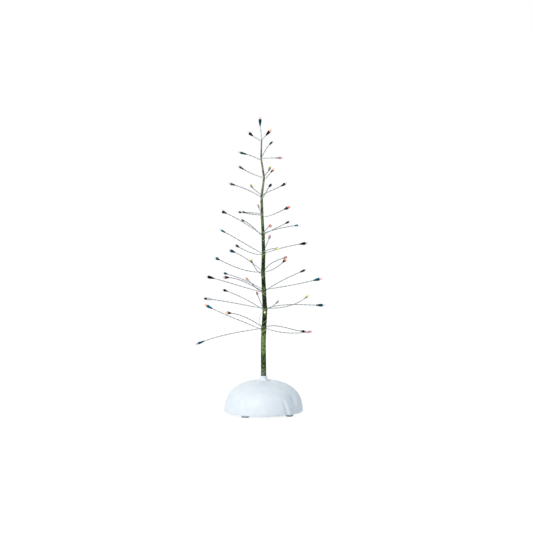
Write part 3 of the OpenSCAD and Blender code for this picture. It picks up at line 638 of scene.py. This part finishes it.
def blend(tree, factor, first, second):
    """Mixes two colours by a mask."""
    node = tree.nodes.new("ShaderNodeMix")
    node.data_type = "RGBA"
    tree.links.new(factor, node.inputs[0])
    for socket, value in ((node.inputs[6], first), (node.inputs[7], second)):
        if isinstance(value, bpy.types.NodeSocket):
            tree.links.new(value, socket)
        else:
            socket.default_value = rgba(value)
    return node.outputs[2]


def spread(tree, value, low, high, to_low=0.0, to_high=1.0):
    """Stretches part of a value's range."""
    return add(tree, "MapRange", {
        "Value": value, "From Min": low, "From Max": high, "To Min": to_low, "To Max": to_high,
    }).outputs["Result"]


def new_group(name, inputs, outputs):
    """A node group with its sockets; gives the group, its start and end, and the place on the object."""
    group = bpy.data.node_groups.new(name, "ShaderNodeTree")
    for label, value in inputs.items():
        socket = group.interface.new_socket(label, in_out="INPUT", socket_type="NodeSocketFloat")
        socket.default_value = value
    for label in outputs:
        group.interface.new_socket(label, in_out="OUTPUT", socket_type="NodeSocketFloat")
    start, end = group.nodes.new("NodeGroupInput"), group.nodes.new("NodeGroupOutput")
    return group, start, end, add(group, "TexCoord").outputs["Object"]


def grain_group():
    """Cloudy patches and fine grain over a surface, at sizes given per metre."""
    name = "Cloud and grain"
    if name in bpy.data.node_groups:
        return bpy.data.node_groups[name]
    sizes = {"Cloud size": 60.0, "Grain size": 1500.0}
    group, start, end, place = new_group(name, sizes, ("Cloud", "Grain"))
    for out, size, detail in (("Cloud", "Cloud size", 3.0), ("Grain", "Grain size", 2.0)):
        cloud = add(group, "TexNoise", {
            "Vector": place, "Scale": start.outputs[size], "Detail": detail,
        })
        group.links.new(cloud.outputs["Fac"], end.inputs[out])
    return group


def scuff_group():
    """Sparse rubbed spots."""
    name = "Scuffs"
    if name in bpy.data.node_groups:
        return bpy.data.node_groups[name]
    group, start, end, place = new_group(name, {"Size": 300.0, "Amount": 0.3}, ("Mask",))
    stretched = add(group, "Mapping", {"Vector": place, "Scale": (1, 0.35, 1)})
    spots = add(group, "TexNoise", {
        "Vector": stretched.outputs["Vector"], "Scale": start.outputs["Size"],
        "Detail": 4.0, "Roughness": 0.7,
    })
    mask = spread(group, spots.outputs["Fac"], 0.62, 0.78)
    share = add(group, "Math", {0: mask, 1: start.outputs["Amount"]}, operation="MULTIPLY")
    group.links.new(share.outputs[0], end.inputs["Mask"])
    return group


class Finish:
    """One material under construction: its tree, its shader and the shared groups."""

    def __init__(self, name, cloud, grain):
        self.material = bpy.data.materials.new(name)
        self.material.use_nodes = True
        self.tree = self.material.node_tree
        self.shader = self.tree.nodes["Principled BSDF"]
        group = self.shared(grain_group(), {"Cloud size": cloud, "Grain size": grain})
        self.cloud, self.grain = group.outputs["Cloud"], group.outputs["Grain"]

    def shared(self, group, inputs):
        return self.add("Group", inputs, node_tree=group)

    def add(self, kind, inputs=None, **settings):
        return add(self.tree, kind, inputs, **settings)

    def mix(self, mask, first, second):
        return blend(self.tree, mask, first, second)

    def spread(self, value, low, high, to_low=0.0, to_high=1.0):
        return spread(self.tree, value, low, high, to_low, to_high)

    def set(self, **values):
        """Values that are the same all over, or sockets that vary."""
        for key, value in values.items():
            socket = self.shader.inputs[key.replace("_", " ")]
            if isinstance(value, bpy.types.NodeSocket):
                self.tree.links.new(value, socket)
            else:
                socket.default_value = value
        return self

    def clouded(self, first, second, low=0.35, high=0.65, most=1.0):
        """Two colours in soft patches, with at most a share of the second."""
        return self.mix(self.spread(self.cloud, low, high, 0, most), first, second)

    def gloss(self, low, high):
        """Roughness that varies with the grain."""
        return self.spread(self.grain, *GRAIN_RANGE, low, high)

    def scuffs(self, size, amount):
        return self.shared(scuff_group(), {"Size": size, "Amount": amount}).outputs["Mask"]

    def place(self):
        return self.add("TexCoord").outputs["Object"]

    def attribute(self, name, output="Fac"):
        return self.add("Attribute", attribute_name=name).outputs[output]

    def bumped(self, strength, depth):
        """The finished material, with its grain raised to a depth in millimetres."""
        heights = {"Height": self.grain, "Strength": strength, "Distance": depth * MM}
        return self.set(Normal=self.add("Bump", heights).outputs["Normal"]).material


def two_tone(name, sizes, colours, rough, patches, **more):
    """Two colours in soft patches, with grain in the gloss and a little in the surface."""
    f = Finish(name, *sizes)
    f.set(Base_Color=f.clouded(*colours, *patches), Roughness=f.gloss(*rough), **more)
    return f.bumped(0.2, 0.02)


def plain_metal(name, light, dark):
    """Plated metal: dull patches and fine drawing marks."""
    return two_tone(name, (220.0, 2500.0), (light, dark), (0.22, 0.42), (0.3, 0.7), Metallic=1.0)


def plain_moulding(name, light, shade, rough, sizes):
    """Moulded plastic: faint clouds of colour, grain in the gloss and a few scuffs."""
    f = Finish(name, *sizes)
    scuffed = [c * 0.8 + 0.2 for c in light]
    rubbed = f.mix(f.scuffs(350.0, 0.2), f.clouded(light, shade), scuffed)
    f.set(Base_Color=rubbed, Roughness=f.gloss(*rough))
    return f.bumped(0.35, 0.05)


def dress(finish, *nodes):
    """Gives solids of the frame their finish."""
    for name in nodes:
        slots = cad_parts[name].material_slots
        if not slots:
            raise RuntimeError(f"{name} has no material slot")
        for s in slots:
            s.material = finish


# Operators


class TREE_OT_snow_mound(bpy.types.Operator):
    """Build the snow mound with its drifts, collar, socket and screw bosses"""

    bl_idname = "tree.snow_mound"
    bl_label = "Snow Mound"

    def finish(self, look):
        f = Finish("moulded_snow", 130.0, 850.0)
        patches = f.clouded(look.light, look.shade, 0.38, 0.68)
        rubbed = f.mix(f.scuffs(160.0, 0.25), patches, look.light)
        f.set(Base_Color=rubbed, Roughness=f.gloss(0.38, 0.52), Specular_IOR_Level=0.4)
        return f.bumped(0.25, 0.06)

    def dome(self, r, height, top, steps):
        """Section of the mound, as (radius, height), from the rim up to a slope of at most 90 at the top."""
        power = 2 / FULL
        turns = [radians(top * n / steps) for n in range(steps + 1)]
        return [(r * cos(t) ** power, RIM_Z + height * sin(t) ** power) for t in turns]

    def drifted(self, co, ripple):
        """Where a point of the smooth mound lies once the snow has its drifts, fold, ripple and dip."""
        r, z = hypot(co.x, co.y), co.z
        lift = min(max((z - RIM_Z) / MOUND_H, 0), 1)
        if r < COLLAR_R or (r / BASE_R) ** FULL + lift**FULL < SURFACE:
            return co
        azimuth = degrees(atan2(co.y, co.x))
        steep = sqrt(max(0, 1 - lift**FULL))
        sunk = r - drift(azimuth, lift) * steep**3 - crease(azimuth, lift)
        wave = sum(share * noise.noise(co * rate) for rate, share in RIPPLES)
        sunk += ripple * wave * steep
        x, y = sunk * cos(radians(azimuth)), sunk * sin(radians(azimuth))
        return Vector((x, y, z - settling(x, y) * (1 - steep * DIP_LOSS)))

    def execute(self, context):
        look = context.scene.lit_tree.snow
        outside = self.dome(BASE_R, MOUND_H, *OUTSIDE_STEPS)
        inside = self.dome(BASE_R - SHELL_WALL, MOUND_H - SHELL_WALL, *INSIDE_STEPS)[::-1]
        outside[0] = (BASE_R, RIM_Z + RIM_EASE[1])
        rim = (BASE_R - RIM_EASE[0], RIM_Z)
        bm = turned([*outside, *COLLAR, *SOCKET, *inside, rim], look.steps, closed=True)
        for v in bm.verts:
            v.co = self.drifted(v.co, look.ripple / MM)
        parts = [to_mesh(bm, "mound")]
        for n in range(4):
            tube = turned(BOSS, BOSS_SIDES, closed=True)
            bmesh.ops.translate(
                tube, vec=around(Vector(), BOSS_OUT, BASE_TURN + n * pi / 2), verts=tube.verts
            )
            parts.append(to_mesh(tube, "boss"))
        piece("snow_mound", gather(parts), [self.finish(look)], ["base_shell"], 50)
        return {"FINISHED"}


class TREE_OT_taped_stem(bpy.types.Operator):
    """Wind the tape up the stem and lay the fine wires over it"""

    bl_idname = "tree.taped_stem"
    bl_label = "Taped Stem"

    def tape_finish(self, look):
        f = Finish("stem_tape", 560.0, 2600.0)
        mottle = f.spread(f.cloud, 0.36, 0.64, 0.25, 1.6)
        flecks = f.spread(f.cloud, 0.57, 0.68, 0, 0.5)
        # Painted light and shade from the tone, broken up by the tape's own mottle and pale flecks
        mixed = f.add(
            "Math", {0: f.attribute("tone"), 1: mottle, 2: flecks},
            operation="MULTIPLY_ADD", use_clamp=True,
        ).outputs[0]
        height = f.add("SeparateXYZ", {"Vector": f.place()}).outputs["Z"]
        # Below 43 mm, blending up to 47 mm, both tones of the tape take the painted reflection of the snow
        above_reflection = f.spread(height, 43 * MM, 47 * MM)
        dark = f.mix(above_reflection, [c * 0.4 for c in look.tape_foot_reflection], look.tape_shaded)
        light = f.mix(above_reflection, look.tape_foot_reflection, look.tape_lit)
        tight = f.mix(f.spread(height, 190 * MM, 245 * MM), light, look.tape_top)
        f.set(Base_Color=f.mix(mixed, dark, tight), Roughness=f.gloss(0.45, 0.65), Specular_IOR_Level=0.1)
        return f.bumped(0.5, 0.08)

    def tone(self, z):
        """How light the tape is painted at a height: painted shade between the low whorls, paler towards the
        top.
        """
        if z < FOOT_END:
            return lookup(z, FOOT_TONES)
        k = (z - FIRST_TIER) / TIER_PITCH
        part = k - floor(k)
        share = lookup(z, TONE_CHANGE)
        return lookup(part, LOW_TONES) * (1 - share) + lookup(part, HIGH_TONES) * share

    def wound(self, lap, width):
        """The tape as one helix of its own section, its lower edge lying over the turn before."""
        section = [
            (0.12, 0), (0.16, 0.12), (0.15, width * 0.5), (-0.05, width),
            (-0.22, width), (-0.08, width * 0.5), (-0.06, 0),
        ]
        bm = bmesh.new()
        verts = [bm.verts.new((WOUND_R + r, 0, TAPE_LOW + z)) for r, z in section]
        edges = [bm.edges.new(pair) for pair in zip(verts, verts[1:] + verts[:1])]
        steps = int((STEM_TOP - TAPE_LOW - width) / lap * TAPE_SIDES)
        bmesh.ops.spin(
            bm, geom=verts + edges, cent=(0, 0, 0), axis=(0, 0, 1), dvec=(0, 0, lap / TAPE_SIDES),
            angle=2 * pi * steps / TAPE_SIDES, steps=steps,
        )
        bmesh.ops.holes_fill(bm, edges=[e for e in bm.edges if e.is_boundary])
        return bm

    def laid(self, co):
        """Where a point of the wound tape lies on the stem."""
        azimuth, z = atan2(co.y, co.x), co.z
        proud = hypot(co.x, co.y) - WOUND_R
        lump = LUMP * noise.noise(Vector((co.x * 0.12, co.y * 0.12, z * 0.3)))
        k = round((z - FIRST_TIER) / TIER_PITCH)
        height, half = KNOT
        knot = height * exp(-(((z - tier_z(k)) / half) ** 2)) if k >= 0 else 0
        r = stem_r(z) + (proud + lump + knot) * min(1, stem_r(z) / THIN_STEM_R) ** 3
        return around(stem_mid(z), r, azimuth)

    def surface_wires(self, radius):
        """Fine wires that wind over the tape, mostly at the whorls."""
        pick = random.Random(STRAND_SEED)
        spans = list(STRAND_SPANS)
        for k, count in enumerate(STRAND_COUNTS):
            spans += [(tier_z(k) - STRAND_BELOW, tier_z(k) + STRAND_ABOVE)] * count
        wires = []
        for low, high in spans:
            start = pick.uniform(0, 2 * pi)
            rate = pick.choice((1, 1, -1)) * 2 * pi / pick.uniform(10, 14)
            steps = int((high - low) / STRAND_STEP)
            path = []
            for s in range(steps + 1):
                z = low + (high - low) * s / steps
                sink = STRAND_SINK * (1 - min(1, 4 * s / steps, 4 - 4 * s / steps))
                path.append(around(stem_mid(z), stem_r(z) + STRAND_OUT - sink, start + rate * (z - low)))
            wires.append(sweep(path, radius, STRAND_SIDES))
        wires.append(sweep(smooth_route(LOOSE_LOOP, 6), radius, STRAND_SIDES))
        return wires

    def execute(self, context):
        look = context.scene.lit_tree.stem
        bm = self.wound(look.lap / MM, look.width / MM)
        # Painted light and shade of the tape at each point, from its height
        painted_light_levels = []
        for v in bm.verts:
            painted_light_levels.append(self.tone(v.co.z))
            v.co = self.laid(v.co)
        bmesh.ops.recalc_face_normals(bm, faces=bm.faces)
        wrap = piece("stem_wrap", bm, [self.tape_finish(look)], ["stem_tape"])
        paint(wrap, "tone", painted_light_levels)
        shades = (look.strand, [c * 0.55 for c in look.strand])
        finish = two_tone("surface_wire", (500.0, 3000.0), shades, (0.25, 0.45), (0.35, 0.7))
        wires = self.surface_wires(look.strand_d / MM / 2)
        piece("stem_strands", gather(wires), [finish], [])
        return {"FINISHED"}


class TREE_OT_branches(bpy.types.Operator):
    """Twist a pair of lamp leads along each branch of the eleven whorls"""

    bl_idname = "tree.branches"
    bl_label = "Branches"

    def finish(self, look):
        f = Finish("twisted_leads", 260.0, 3200.0)
        level = f.add("Mapping", {"Vector": f.place(), "Scale": (1, 1, 0)}).outputs["Vector"]
        out = f.add("VectorMath", {0: level}, operation="LENGTH").outputs["Value"]
        f.set(
            Base_Color=f.mix(f.spread(out, 5 * MM, 14 * MM), look.root, f.clouded(look.light, look.dark)),
            Roughness=f.gloss(0.35, 0.55),
            Specular_IOR_Level=0.3,
        )
        return f.bumped(0.2, 0.02)

    def pair(self, k, i, look, pick):
        """The two strands of one branch, twisted round its centre line."""
        radius, pitch = look.strand_d / MM / 2, look.pitch / MM
        fine = branch_path(k, i, MEASURE_STEPS)
        run = sum((b - a).length for a, b in zip(fine, fine[1:]))
        steps = max(8, int(run / TWIST_STEP))
        middle = branch_path(k, i, steps)
        middle.append(middle[-1] + (middle[-1] - middle[-2]).normalized() * INTO_SLEEVE)
        stands = ring_stands(middle)
        phase, tightness = pick.uniform(0, 2 * pi), pick.uniform(0, 20)
        strands = []
        for half in (0, pi):
            path = []
            for n, stand in enumerate(stands):
                gap = radius + PLAY + OPENING * max(0, noise.noise(Vector((n * 0.09, tightness, 0))))
                if n > steps - CLOSING_STEPS:
                    gap = radius
                path.append(stand @ around(Vector(), gap, phase + half + 2 * pi * n * run / steps / pitch))
            # The pair comes out from under the tape
            inward = stem_mid(tier_z(k) + root_lift(i)) - path[0]
            inward.z = 0
            path.insert(0, path[0] + inward.normalized() * min(UNDER_TAPE, inward.length))
            strands.append(sweep(path, radius, STRAND_SIDES))
        return strands

    def execute(self, context):
        look = context.scene.lit_tree.branch
        finish = self.finish(look)
        pick = random.Random(TWIST_SEED)
        for k, whorl in enumerate(WHORLS):
            wires = []
            for i in range(len(whorl)):
                wires += self.pair(k, i, look, pick)
            name = f"branch_leads_{k + 1}"
            piece(name, gather(wires), [finish], [f"tier_{k + 1}_wires"])
        return {"FINISHED"}


class TREE_OT_sleeves(bpy.types.Operator):
    """Shrink a sleeve over the end of each branch"""

    bl_idname = "tree.sleeves"
    bl_label = "Sleeves"

    def finish(self, tint, own, gripped, darkest, lightest):
        f = Finish(f"shrunk_sleeve_{tint}", 700.0, 3600.0)
        shade = f.mix(f.attribute("tone"), [c * darkest for c in own], srgb(*lightest))
        body = f.clouded(shade, own, most=0.4)
        along = f.attribute("along")
        if tint == "pale":
            # A pale sleeve is milky, so its lamp shows through
            body = f.mix(f.spread(along, 0.3, 0.8, 0, 0.55), body, f.attribute("inside", "Color"))
        f.set(
            Base_Color=f.mix(f.spread(along, 0.5, 0.05), body, [c * gripped for c in own]),
            Roughness=f.gloss(0.4, 0.6),
            Specular_IOR_Level=0.04,
        )
        return f.bumped(0.25, 0.04)

    def shape(self, mouth, full):
        """One sleeve along +Z: tight on the leads, full round the lamp."""
        body = [
            (0.5, -1.5), (0.76, -1.5), (0.81, -1.35), (0.8, -0.9), (0.84, -0.3),
            (max(0.84, full * 0.36), mouth * 0.16), (max(0.86, full * 0.42), mouth * 0.27),
            (full * 0.475, mouth * 0.43), (full * 0.5, mouth * 0.62), (full * 0.496, mouth * 0.8),
            (full * 0.48, mouth * 0.92), (full * 0.46, mouth - 0.05), (full * 0.436, mouth),
            (full * 0.41, mouth - 0.05), (full * 0.4, mouth * 0.5), (0.5, mouth * 0.2),
        ]
        bm = turned(body, LAMP_SIDES, closed=True)
        along = [(v.co.z + SLEEVE_GRIP) / (mouth + SLEEVE_GRIP) for v in bm.verts]
        return to_mesh(bm, "sleeve"), along

    def execute(self, context):
        look = context.scene.lit_tree.lamp
        for tint, (gripped, darkest, lightest, rarity, seed) in SLEEVES.items():
            pick = random.Random(seed)
            parts, along, tone, inside = [], [], [], []
            for k, i, lamp in each_lamp("sleeve", tint):
                part, marks = self.shape(mouth(lamp), SLEEVE_D * lamp.girth)
                # A shrunk tube is never quite round
                part.transform(Matrix.Diagonal((pick.uniform(0.92, 1), 1, 1, 1)))
                part.transform(lamp_place(k, i) @ Matrix.Rotation(pick.uniform(0, 6.28), 4, "Z"))
                parts.append(part)
                along += marks
                tone += [pick.random() ** rarity] * len(marks)
                # The dark lamp is dark only at its tip, so it doesn't show through its sleeve
                shown = "sleeve_pale" if lamp.tint == "green" else lamp.tint
                inside += [*getattr(look, shown), 1] * len(marks)
            finish = self.finish(tint, getattr(look, f"sleeve_{tint}"), gripped, darkest, lightest)
            name = f"lamp_sleeves_{tint}"
            obj = piece(name, gather(parts), [finish], [f"sleeves_{tint}"], 50)
            paint(obj, "along", along)
            paint(obj, "tone", tone)
            paint(obj, "inside", inside, "FLOAT_COLOR", "color")
        return {"FINISHED"}


class TREE_OT_lamps(bpy.types.Operator):
    """Set a small glass lamp in each sleeve"""

    bl_idname = "tree.lamps"
    bl_label = "Lamps"

    def finish(self, tint, deep, glow):
        f = Finish(f"lamp_glass_{tint}", 900.0, 4200.0)
        dark = tint == "green"
        tip, share, _ = GLASS[tint]
        pale = [c * (1 - share) + t * share for c, t in zip(deep, tip)]
        own = f.mix(f.attribute("tone"), deep, pale)
        dipped = f.mix(f.spread(f.attribute("along"), 0.55, 1, 0, 0.8), own, tip)
        streaked = f.clouded(dipped, pale, 0.3, 0.75, 0.3)
        f.set(
            Base_Color=streaked,
            Roughness=f.gloss(0.08, 0.2),
            Specular_IOR_Level=0.1 if dark else 0.5,
            Transmission_Weight=0.0 if dark else 0.25,
            IOR=1.45,
            Emission_Color=streaked,
            Emission_Strength=0.0 if dark else glow,
        )
        return f.material

    def shape(self, mouth, r):
        """One lamp along +Z: pinch, straight tube, round end and the pip where the glass was drawn off."""
        shoulder = mouth + BULB_OUT - 1
        pinch = [
            (0, 0.05), (0.45, 0.05), (0.5, mouth * 0.2), (r * 0.88, mouth * 0.5), (r * 0.94, mouth),
            (r, mouth + 0.5),
        ]
        turns = [radians(a) for a in range(0, 80, 10)]
        dome = [(r * cos(t), shoulder + 0.9 * sin(t)) for t in turns]
        pip = [(0.12, shoulder + 0.93), (0, shoulder + 1)]
        bm = turned(pinch + dome + pip, LAMP_SIDES)
        along = [(v.co.z - mouth) / BULB_OUT for v in bm.verts]
        return to_mesh(bm, "lamp"), along

    def execute(self, context):
        look = context.scene.lit_tree.lamp
        for tint in GLASS:
            pick = random.Random(GLASS[tint][2])
            parts, along, tone = [], [], []
            for k, i, lamp in each_lamp("tint", tint):
                part, marks = self.shape(mouth(lamp), BULB_D / 2 * lamp.girth)
                part.transform(lamp_place(k, i))
                parts.append(part)
                along += marks
                tone += [pick.random()] * len(marks)
            finish = self.finish(tint, getattr(look, tint), look.glow)
            name = f"glass_lamps_{tint}"
            obj = piece(name, gather(parts), [finish], [f"lamps_{tint}"], 60)
            paint(obj, "along", along)
            paint(obj, "tone", tone)
        return {"FINISHED"}


class TREE_OT_plate_and_door(bpy.types.Operator):
    """Finish the base plate, its battery door, feet and screws"""

    bl_idname = "tree.plate_and_door"
    bl_label = "Plate and Door"

    def execute(self, context):
        look = context.scene.lit_tree.base
        shade = [c * 0.9 for c in look.plate]
        plate = plain_moulding("plate_plastic", look.plate, shade, (0.42, 0.62), (55.0, 1900.0))
        dress(plate, "base_plate", "battery_door")
        dark = [c * 0.7 for c in look.foot]
        dress(plain_moulding("foot_rubber", look.foot, dark, (0.5, 0.75), (320.0, 2200.0)), "foot_pads")
        dress(plain_metal("screw_zinc", srgb(205, 207, 210), srgb(150, 152, 158)), "case_screws")
        return {"FINISHED"}


class TREE_OT_cells(bpy.types.Operator):
    """Finish the two cells and their contacts, and wind the contact springs"""

    bl_idname = "tree.cells"
    bl_label = "Cells and Contacts"

    def bands(self, f, along, stops):
        """Colours that change at once from one share of the way to the next."""
        node = f.add("ValToRGB", {"Fac": along})
        ramp = node.color_ramp
        ramp.interpolation = "CONSTANT"
        while len(ramp.elements) < len(stops):
            ramp.elements.new(0.5)
        for element, (at, shown) in zip(ramp.elements, stops):
            element.position, element.color = at, rgba(shown)
        return node.outputs["Color"]

    def jacket(self, name, tint, start, end):
        """A film jacket with a pale band, and bare metal at both ends."""
        f = Finish(name, 150.0, 2400.0)
        back = f.add("Mapping", {"Vector": f.place(), "Rotation": (0, 0, -BASE_TURN)})
        axis = f.add("SeparateXYZ", {"Vector": back.outputs["Vector"]}).outputs["X"]
        along = f.spread(axis, start * MM, end * MM)
        film, cap = 0.036, 0.985
        shown = self.bands(f, along, (
            (0.0, srgb(200, 200, 196)), (film, tint), (0.06, srgb(205, 210, 214)), (0.16, tint),
            (cap, srgb(186, 186, 182)),
        ))
        bare = self.bands(f, along, ((0, (1, 1, 1)), (film, (0, 0, 0)), (cap, (1, 1, 1))))
        worn = f.clouded(shown, srgb(120, 130, 138), 0.3, 0.7, 0.25)
        f.set(Base_Color=worn, Metallic=bare, Roughness=f.gloss(0.25, 0.42))
        return f.bumped(0.15, 0.02)

    def spring_path(self):
        """A coil along +X that narrows from the contact to the cell, with both ends turned in."""
        path = [Vector((0, SPRING_FOOT_R, 0))]
        steps = int(SPRING_STEPS * SPRING_TURNS)
        for n in range(steps + 1):
            u = n / steps
            r, a = SPRING_FOOT_R * (1 - u) + SPRING_TIP_R * u, 2 * pi * SPRING_TURNS * u
            path.append(Vector((SPRING_WIRE + SPRING_RISE * u, r * cos(a), r * sin(a))))
        return path + [Vector((SPRING_TIP, path[-1].y, path[-1].z))]

    def execute(self, context):
        look = context.scene.lit_tree.base
        dress(self.jacket("cell_film_front", look.jacket, CELL_LOW, CELL_HIGH), "battery_front")
        dress(self.jacket("cell_film_rear", look.jacket, -CELL_LOW, -CELL_HIGH), "battery_rear")
        nickel = plain_metal("contact_nickel", srgb(214, 212, 204), srgb(168, 166, 160))
        dress(nickel, "bridge_contact", "positive_contact", "negative_contact")
        seat = Matrix.Translation((CELL_LOW, CELL_Y, CELL_Z))
        springs = []
        for half in (0, pi):
            spring = sweep(self.spring_path(), SPRING_WIRE / 2, LEAD_SIDES)
            spring.transform(Matrix.Rotation(BASE_TURN + half, 4, "Z") @ seat)
            springs.append(spring)
        piece("cell_springs", gather(springs), [nickel], ["contact_springs"], 60)
        return {"FINISHED"}


class TREE_OT_switch(bpy.types.Operator):
    """Finish the slide switch"""

    bl_idname = "tree.switch"
    bl_label = "Slide Switch"

    def execute(self, context):
        look = context.scene.lit_tree.base
        lighter = [c * 1.5 + 0.01 for c in look.switch]
        body = plain_moulding("switch_plastic", look.switch, lighter, (0.35, 0.55), (400.0, 2600.0))
        dress(body, "switch_body")
        darker = [c * 0.6 for c in look.switch]
        slider = plain_moulding("slider_plastic", darker, look.switch, (0.3, 0.5), (500.0, 3000.0))
        dress(slider, "switch_slider")
        dress(plain_metal("pin_brass", srgb(206, 178, 112), srgb(168, 140, 80)), "switch_pins")
        return {"FINISHED"}


class TREE_OT_leads(bpy.types.Operator):
    """Lay the leads in the base and finish the stem's core"""

    bl_idname = "tree.leads"
    bl_label = "Leads and Core"

    def insulation(self, name, tint):
        shades = (tint, [c * 0.7 for c in tint])
        return two_tone(name, (240.0, 2600.0), shades, (0.25, 0.4), (0.3, 0.7))

    def execute(self, context):
        red = self.insulation("lead_red", srgb(190, 40, 38))
        black = self.insulation("lead_black", srgb(28, 28, 30))
        for name, route, finish, slot in (
            ("red_lead", RED_ROUTE, red, "red_insulation"),
            ("black_lead", BLACK_ROUTE, black, "black_insulation"),
            ("lamp_lead", LAMP_ROUTE, red, "red_insulation"),
        ):
            wire = sweep(smooth_route(route, 8), LEAD_D / 2, LEAD_SIDES)
            wire.transform(Matrix.Rotation(BASE_TURN, 4, "Z"))
            piece(f"laid_{name}", gather([wire]), [finish], [name], 60)
        dress(plain_metal("rod_steel", srgb(150, 150, 152), srgb(110, 110, 112)), "stem_rod")
        dress(self.insulation("gathered_leads", srgb(120, 124, 122)), "lead_bundle")
        amber = srgb(206, 198, 176)
        glue = plain_moulding("hot_glue", srgb(226, 220, 200), amber, (0.15, 0.3), (300.0, 1500.0))
        dress(glue, "stem_glue")
        return {"FINISHED"}


class TREE_OT_stage(bpy.types.Operator):
    """Set the floor, the soft light and the camera"""

    bl_idname = "tree.stage"
    bl_label = "Stage"

    def seen(self, tree):
        """1 where a ray comes from the camera, a reflection or glass."""
        path = add(tree, "LightPath")
        seen = path.outputs["Is Camera Ray"]
        for ray in ("Is Glossy Ray", "Is Transmission Ray"):
            seen = add(tree, "Math", {0: seen, 1: path.outputs[ray]}, operation="MAXIMUM").outputs[0]
        return seen

    def floor(self, look):
        bm = bmesh.new()
        bmesh.ops.create_circle(bm, cap_ends=True, segments=96, radius=FLOOR_R)
        mesh = to_mesh(bm, "floor")
        obj = bpy.data.objects.new("floor", mesh)
        bpy.context.scene.collection.objects.link(obj)
        finish = bpy.data.materials.new("pale_floor")
        finish.use_nodes = True
        tree = finish.node_tree
        tree.nodes.clear()
        # It lights the tree as paper does, and shows as white with a faint shadow
        paper = add(tree, "BsdfDiffuse", {"Color": rgba(look.floor)})
        thin = add(tree, "BsdfDiffuse", {"Color": (0.28, 0.28, 0.28, 1)})
        white = add(tree, "Emission", {"Color": (1, 1, 1, 1), "Strength": 0.9})
        shown = add(tree, "AddShader", {0: thin.outputs[0], 1: white.outputs[0]})
        both = add(tree, "MixShader", {
            0: self.seen(tree), 1: paper.outputs[0], 2: shown.outputs[0],
        })
        out = add(tree, "OutputMaterial", {"Surface": both.outputs[0]})
        out.is_active_output = True
        mesh.materials.append(finish)

    def sky(self, look):
        world = bpy.data.worlds.new("studio")
        world.use_nodes = True
        bpy.context.scene.world = world
        tree = world.node_tree
        back = tree.nodes["Background"]
        seen = self.seen(tree)
        tree.links.new(spread(tree, seen, 0, 1, look.sky, 1.0), back.inputs["Strength"])
        way = add(tree, "TexCoord").outputs["Generated"]
        behind = add(tree, "SeparateXYZ", {"Vector": way}).outputs["Y"]
        cast = blend(tree, spread(tree, behind, 0.6, 1), SKY_CAST, BACK_CAST)
        tree.links.new(blend(tree, seen, cast, (1, 1, 1)), back.inputs["Color"])

    def set_up(self, name, data, place, aim):
        """Puts a light or a camera in its place, turned to what it is aimed at."""
        obj = bpy.data.objects.new(name, data)
        obj.location = place
        obj.rotation_mode = "QUATERNION"
        obj.rotation_quaternion = (Vector(aim) - Vector(place)).to_track_quat("-Z", "Y")
        bpy.context.scene.collection.objects.link(obj)
        return obj

    def execute(self, context):
        look = context.scene.lit_tree.stage
        self.floor(look)
        self.sky(look)
        key = bpy.data.lights.new("key_light", "AREA")
        key.shape, key.size, key.energy = "DISK", KEY_SIZE, look.key
        key.color = KEY_COLOUR
        self.set_up("key_light", key, KEY_PLACE, KEY_AIM)
        lens = bpy.data.cameras.new("camera")
        lens.sensor_width, lens.lens = SENSOR, LENS
        lens.clip_start, lens.clip_end = 0.05, 50
        context.scene.camera = self.set_up("camera", lens, CAMERA_PLACE, CAMERA_AIM)
        context.scene.view_settings.view_transform = "Standard"
        return {"FINISHED"}


OPERATORS = (
    TREE_OT_snow_mound, TREE_OT_taped_stem, TREE_OT_branches, TREE_OT_sleeves, TREE_OT_lamps,
    TREE_OT_plate_and_door, TREE_OT_cells, TREE_OT_switch, TREE_OT_leads, TREE_OT_stage,
)


class TREE_PT_sidebar(bpy.types.Panel):
    bl_idname = "TREE_PT_sidebar"
    bl_label = "Lighted Miniature Tree"
    bl_space_type = "VIEW_3D"
    bl_region_type = "UI"
    bl_category = "Tree"

    def draw(self, context):
        settings = context.scene.lit_tree
        for group in ("snow", "stem", "branch", "lamp", "base", "stage"):
            box = self.layout.box()
            held = getattr(settings, group)
            for name in held.__annotations__:
                box.prop(held, name)
        for operator in OPERATORS:
            self.layout.operator(operator.bl_idname)


CLASSES = (
    SnowSettings, StemSettings, BranchSettings, LampSettings, BaseSettings, StageSettings, TreeSettings,
    *OPERATORS, TREE_PT_sidebar,
)


def register():
    for cls in CLASSES:
        bpy.utils.register_class(cls)
    bpy.types.Scene.lit_tree = PointerProperty(type=TreeSettings)


def unregister():
    del bpy.types.Scene.lit_tree
    for cls in reversed(CLASSES):
        bpy.utils.unregister_class(cls)


def main():
    register()
    bpy.ops.tree.snow_mound()
    bpy.ops.tree.taped_stem()
    bpy.ops.tree.branches()
    bpy.ops.tree.sleeves()
    bpy.ops.tree.lamps()
    bpy.ops.tree.plate_and_door()
    bpy.ops.tree.cells()
    bpy.ops.tree.switch()
    bpy.ops.tree.leads()
    bpy.ops.tree.stage()


if __name__ == "__main__":
    main()
